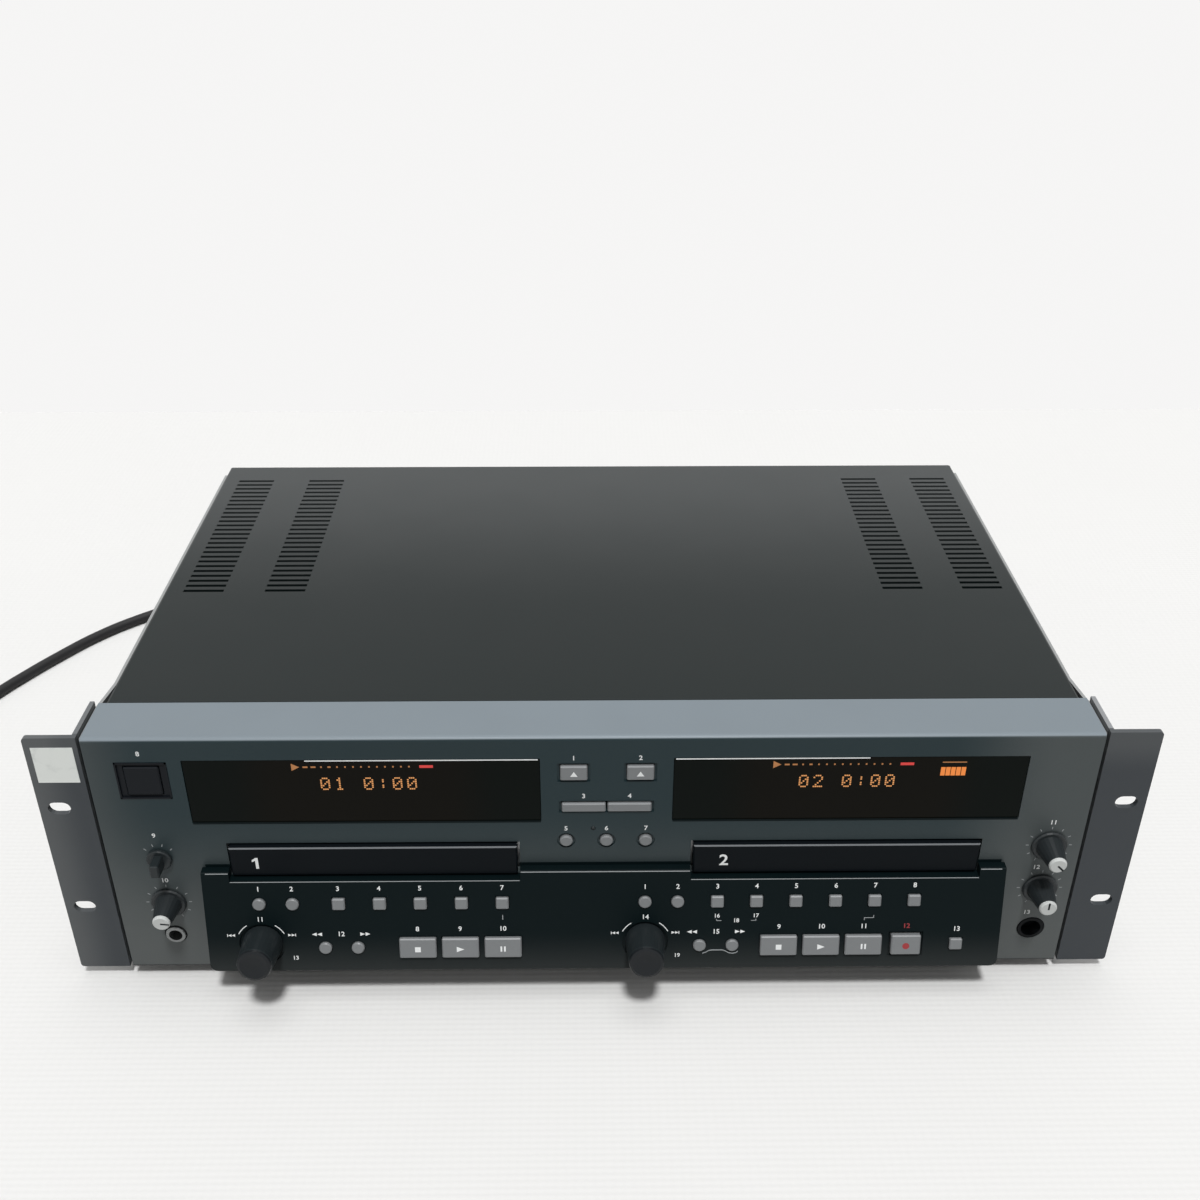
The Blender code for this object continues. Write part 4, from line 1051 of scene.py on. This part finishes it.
def front_trim():
    bm = bmesh.new()
    top = window_top
    # Painted highlights: bright bars along the top edges of the windows
    for left, right in ((bright_left, window_left[1]), (window_right[0], bright_right)):
        start, end = left + bright_inset, right - bright_inset
        bar(bm, panel_face, start, top - bright_low, end, top - bright_high, 0.0001, -0.0003)
    piece("window_edge_highlights", bm, white_print_and_painted_light, "root")

    bm = bmesh.new()
    control_low, control_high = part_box("control_panel")
    # Painted highlights: grey lines under the tray mouths and along the control panel's top edge
    lip_rise = face_rise(mouth_height)
    edge_rise = face_rise(control_high.z) - 0.0003
    starts = [control_low.x + edge_inset]
    ends = []
    for tray in ("disc_tray_1", "disc_tray_2"):
        low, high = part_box(tray)
        left, right = low.x - mouth_reach, high.x + mouth_reach
        bar(bm, control_face, left, lip_rise - bright_low, right, lip_rise - bright_high)
        ends.append(low.x - mouth_gap)
        starts.append(high.x + mouth_gap)
    ends.append(control_high.x - edge_inset)
    for start, end in zip(starts, ends):
        bar(bm, control_face, start, edge_rise - edge_width, end, edge_rise)
    piece("panel_edge_highlights", bm, grey_print_and_painted_light, "root")

    bm = bmesh.new()
    # Painted shade: dark bars on the panel just above the control panel's ledge
    ledge_shade_low, ledge_shade_high = control_high.z - 0.0003, control_high.z + 0.0014
    for start, end in zip(starts, ends):
        bar(bm, panel_face, start - ledge_shade_reach, ledge_shade_low, end + ledge_shade_reach, ledge_shade_high, 0.0002)
    for left, right in (window_left, window_right):
        bar(bm, panel_face, left, window_low - 0.0007, right, window_low + 0.0003, 0.0001)
    piece("panel_seams_and_shade", bm, control_moulding_and_painted_light, "root")

    bm = bmesh.new()
    ear_face = surface(Vector((0, ear_low.y, 0)), up_way)
    bar(bm, ear_face, *label_corners, label_thickness)
    piece("blank_label", bm, label_paper, "root")

    bm = bmesh.new()
    bmesh.ops.create_uvsphere(bm, u_segments=14, v_segments=8, radius=lamp_radius)
    bmesh.ops.translate(bm, vec=lamp_spot, verts=bm.verts)
    piece("lamp_lens", bm, dial_moulding, "root")


front_trim()


def power_frame():
    """Black liner of the power switch: a flat frame with a raised rim."""
    low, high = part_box("power_button")
    middle = ((low.x + high.x) / 2, (low.z + high.z) / 2)
    onto = surface(Vector((middle[0], panel_front, middle[1])), up_way)
    gap, rim = 0.0004, 0.0007
    flat_face, flat_back = -0.0006, -0.00135
    rim_face, rim_back = 0.0003, -0.0010
    inner_x, inner_y = (high.x - low.x) / 2 + gap, (high.z - low.z) / 2 + gap
    outer_x, outer_y = 0.0111, 0.00965
    bm = bmesh.new()
    for left, bottom, right, top in (
        (-outer_x, -outer_y, -inner_x, outer_y),
        (inner_x, -outer_y, outer_x, outer_y),
        (-inner_x, inner_y, inner_x, outer_y),
        (-inner_x, -outer_y, inner_x, -inner_y),
    ):
        bar(bm, onto, left, bottom, right, top, flat_face, flat_back)
    for left, bottom, right, top in (
        (-outer_x, -outer_y, -outer_x + rim, outer_y),
        (outer_x - rim, -outer_y, outer_x, outer_y),
        (-outer_x, outer_y - rim, outer_x, outer_y),
        (-outer_x, -outer_y, outer_x, -outer_y + rim),
    ):
        bar(bm, onto, left, bottom, right, top, rim_face, rim_back)
    piece("power_frame", bm, switch_moulding, "root")


power_frame()


# Screws of the case: six in each side wall, and two rows by height in the rear wall
wall_gap = 0.0008
wall_sheet = 0.0015
side_screw_y = (-0.055, 0.030, 0.118)
side_screw_z = (0.122, 0.018)
rear_screws = {0.124: (-0.195, 0.0, 0.195), 0.016: (-0.205, -0.12, 0.090, 0.205)}
side_screw_radius = 0.0032
rear_screw_radius = 0.0030
screw_height = 0.0014


def screw(bm, spot, outward, radius):
    """Domed head."""
    head = bmesh.new()
    bmesh.ops.create_uvsphere(head, u_segments=16, v_segments=8, radius=radius)
    whole = head.verts[:] + head.edges[:] + head.faces[:]
    cut = bmesh.ops.bisect_plane(
        head, geom=whole, plane_co=(0, 0, 0), plane_no=(0, 0, 1), clear_inner=True
    )
    rim = [item for item in cut["geom_cut"] if isinstance(item, bmesh.types.BMEdge)]
    bmesh.ops.holes_fill(head, edges=rim)
    bmesh.ops.scale(head, vec=(1, 1, screw_height / radius), verts=head.verts)
    turn = outward.to_track_quat("Z", "Y").to_matrix().to_4x4()
    bmesh.ops.transform(head, matrix=Matrix.Translation(spot) @ turn, verts=head.verts)
    mesh = bpy.data.meshes.new("screw_head")
    head.to_mesh(mesh)
    head.free()
    bm.from_mesh(mesh)
    bpy.data.meshes.remove(mesh)


def case_screws():
    bm = bmesh.new()
    rear_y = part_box("chassis_pan")[1].y
    wall_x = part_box("top_cover")[1].x + wall_gap + wall_sheet
    for side in (-1, 1):
        outward = Vector((side, 0, 0))
        for y in side_screw_y:
            for z in side_screw_z:
                screw(bm, Vector((side * wall_x, y, z)), outward, side_screw_radius)
    for z, row in rear_screws.items():
        for x in row:
            screw(bm, Vector((x, rear_y, z)), Vector((0, 1, 0)), rear_screw_radius)
    piece("case_screws", bm, screw_steel, "root")


case_screws()


# Wires from the supply to the power switch, close under the vents: where each pair runs,
# where it comes up, how high it lies and which side of the switch it goes to
wire_radius = 0.0009
wire_gap = 0.0011
wire_pairs = ((-0.1542, 0.046, 0.1285, 1), (-0.1879, 0.058, 0.1275, -1))
wire_joint_spot = Vector((-0.1879, 0.0400, 0.1275))


def switch_wires():
    button_low, button_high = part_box("power_button")
    supply_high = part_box("power_supply")[1]
    switch_y = button_high.y + 0.012
    switch_z = (button_low.z + button_high.z) / 2
    routes = []
    for x, turn_y, reach, side in wire_pairs:
        switch_x = button_low.x + 0.006 + side * 0.003
        for gap in (-wire_gap, wire_gap):
            route = (
                (x + gap, 0.088, supply_high.z - 0.006),
                (x + gap, 0.080, 0.090),
                (x + gap, turn_y, reach),
                (x + gap, 0.002, reach),
                (x + gap - 0.010, -0.055, 0.120),
                (switch_x + gap, switch_y, switch_z),
            )
            routes.append(route)
    wires = strand("switch_wires", routes, wire_radius, wire_sleeve, sides=2, steps=4)
    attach(wires, "root")

    bm = bmesh.new()
    onto = surface(wire_joint_spot, up_way)
    bar(bm, onto, -0.0028, -0.0018, 0.0028, 0.0018, 0.0045, -0.0045)
    for left in (-0.0022, 0.0004):
        bar(bm, onto, left, -0.0022, left + 0.0018, 0.0022, 0.0020, -0.0040)
    piece("wire_joint", bm, wire_sleeve, "root")


switch_wires()


# Rear: collars round the phono sockets, plain numbers beside them and a frame round both
barrel_reach = 0.0095
collar_gap = 0.0011
collar_width = 0.0016
collar_thickness = 0.0009
rear_figure_rise = 0.0092
rear_figure_height = 0.0030
rear_frame_side = 0.0125
rear_frame_end = 0.0145
rear_line = 0.0004


def socket_spots():
    """Middle and radius of each socket barrel that stands out of the rear wall."""
    rear, past_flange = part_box("chassis_pan")[1].y, 0.002
    groups = []
    for vert in nodes["main_board"].data.vertices:
        if vert.co.y > rear + past_flange:
            for group in groups:
                if (vert.co.xz - group[0].xz).length < barrel_reach:
                    group.append(vert.co)
                    break
            else:
                groups.append([vert.co])
    spots = []
    for group in groups:
        xs = [spot.x for spot in group]
        zs = [spot.z for spot in group]
        radius = (max(xs) - min(xs)) / 2
        spots.append(((min(xs) + max(xs)) / 2, (min(zs) + max(zs)) / 2, radius))
    return sorted(spots, key=lambda spot: (round(-spot[1], 3), -spot[0]))


def rear_print():
    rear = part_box("chassis_pan")[1].y
    onto = Matrix(((-1, 0, 0), (0, 0, 1), (0, 1, 0))).transposed().to_4x4()
    onto.translation = Vector((0, rear, 0))
    spots = socket_spots()
    middle = sum(spot[1] for spot in spots) / len(spots)
    marks = bmesh.new()
    upper = bmesh.new()
    lower = bmesh.new()
    for order, (x, z, radius) in enumerate(spots, 1):
        above = z > middle
        ring = upper if above else lower
        reach = radius + collar_gap
        for start in (0, pi):
            ends = start, start + pi
            arc(ring, onto, (-x, z), reach, collar_width, *ends, 12, collar_thickness)
        rise = rear_figure_rise if above else -rear_figure_rise
        number(marks, onto, str(order), (-x, z + rise), rear_figure_height)
    xs = [spot[0] for spot in spots]
    zs = [spot[1] for spot in spots]
    left, right = -max(xs) - rear_frame_side, -min(xs) + rear_frame_side
    bottom, top = min(zs) - rear_frame_end, max(zs) + rear_frame_end
    for start, low, end, high in (
        (left, bottom, right, bottom + rear_line),
        (left, top, right, top + rear_line),
        (left, bottom, left + rear_line, top),
        (right, bottom, right + rear_line, top + rear_line),
    ):
        bar(marks, onto, start, low, end, high)
    piece("rear_marks", marks, ink_print, "root")
    piece("upper_collars", upper, white_print_and_painted_light, "root")
    piece("lower_collars", lower, red_print, "root")


rear_print()


# Floor and light
floor_reach = 2.5
wall_start = 0.565
world_light = 0.32
world_extra = 0.60


def seen_directly(tree):
    """1 for what the camera sees itself, in a gloss or through glass."""
    rays = tree.nodes.new("ShaderNodeLightPath")
    seen = Value(tree, rays.outputs["Is Camera Ray"]) + Value(tree, rays.outputs["Is Glossy Ray"])
    return (seen + Value(tree, rays.outputs["Is Transmission Ray"])).above(0.5)


def cloth_finish():
    """White woven cloth where it is seen, and greyer for the light that it throws back."""
    made = Finish("floor_cloth", (0.38, 0.38, 0.37), 0.85)
    weave = made.axis("Y").wave(0.0030) * 0.5 + made.axis("X").wave(0.0039) * 0.3
    patches = made.noise(0.18, 3.0)
    threads = weave * 0.5 + 0.5
    mottle = threads * 0.5 + patches * 0.5
    tone = made.blend(mottle, (0.748, 0.746, 0.736, 1), (0.787, 0.785, 0.776, 1))
    made.set("Base Color", made.blend(seen_directly(made.tree), made.colour, tone))
    made.bump(weave, 0.00012, 0.5)
    return made


def floor():
    """Floor up to where the photograph's wall begins; the wall is the pale world behind it."""
    bm = bmesh.new()
    near, far = -floor_reach, wall_start
    corners = ((near, near), (floor_reach, near), (floor_reach, far), (near, far))
    bm.faces.new([bm.verts.new((x, y, 0)) for x, y in corners])
    mesh = bpy.data.meshes.new("floor")
    bm.to_mesh(mesh)
    bm.free()
    mesh.materials.append(cloth_finish().material)
    made = linked("floor", mesh)


floor()


def lamp(name, energy, spread, tilt, sideways):
    """A broad lamp that stands tilt degrees from overhead, towards the front."""
    made = bpy.data.lights.new(name, "SUN")
    made.energy = energy
    made.angle = radians(spread)
    holder = linked(name, made)
    way = Vector((sideways, sin(radians(tilt)), -cos(radians(tilt))))
    holder.rotation_euler = way.to_track_quat("-Z", "Y").to_euler()


def lights():
    lamp("front_lamp", energy=2.2, spread=8, tilt=24, sideways=-0.04)
    lamp("ceiling_lamp", energy=0.75, spread=40, tilt=-3, sideways=0.0)
    world = bpy.data.worlds.new("studio")
    bpy.context.scene.world = world
    world.use_nodes = True
    tree = world.node_tree
    background = tree.nodes["Background"]
    strength = seen_directly(tree) * world_extra + world_light
    tree.links.new(strength.socket, background.inputs["Strength"])
    background.inputs["Color"].default_value = (1, 0.995, 0.99, 1)
    bpy.context.scene.view_settings.view_transform = "Standard"


lights()
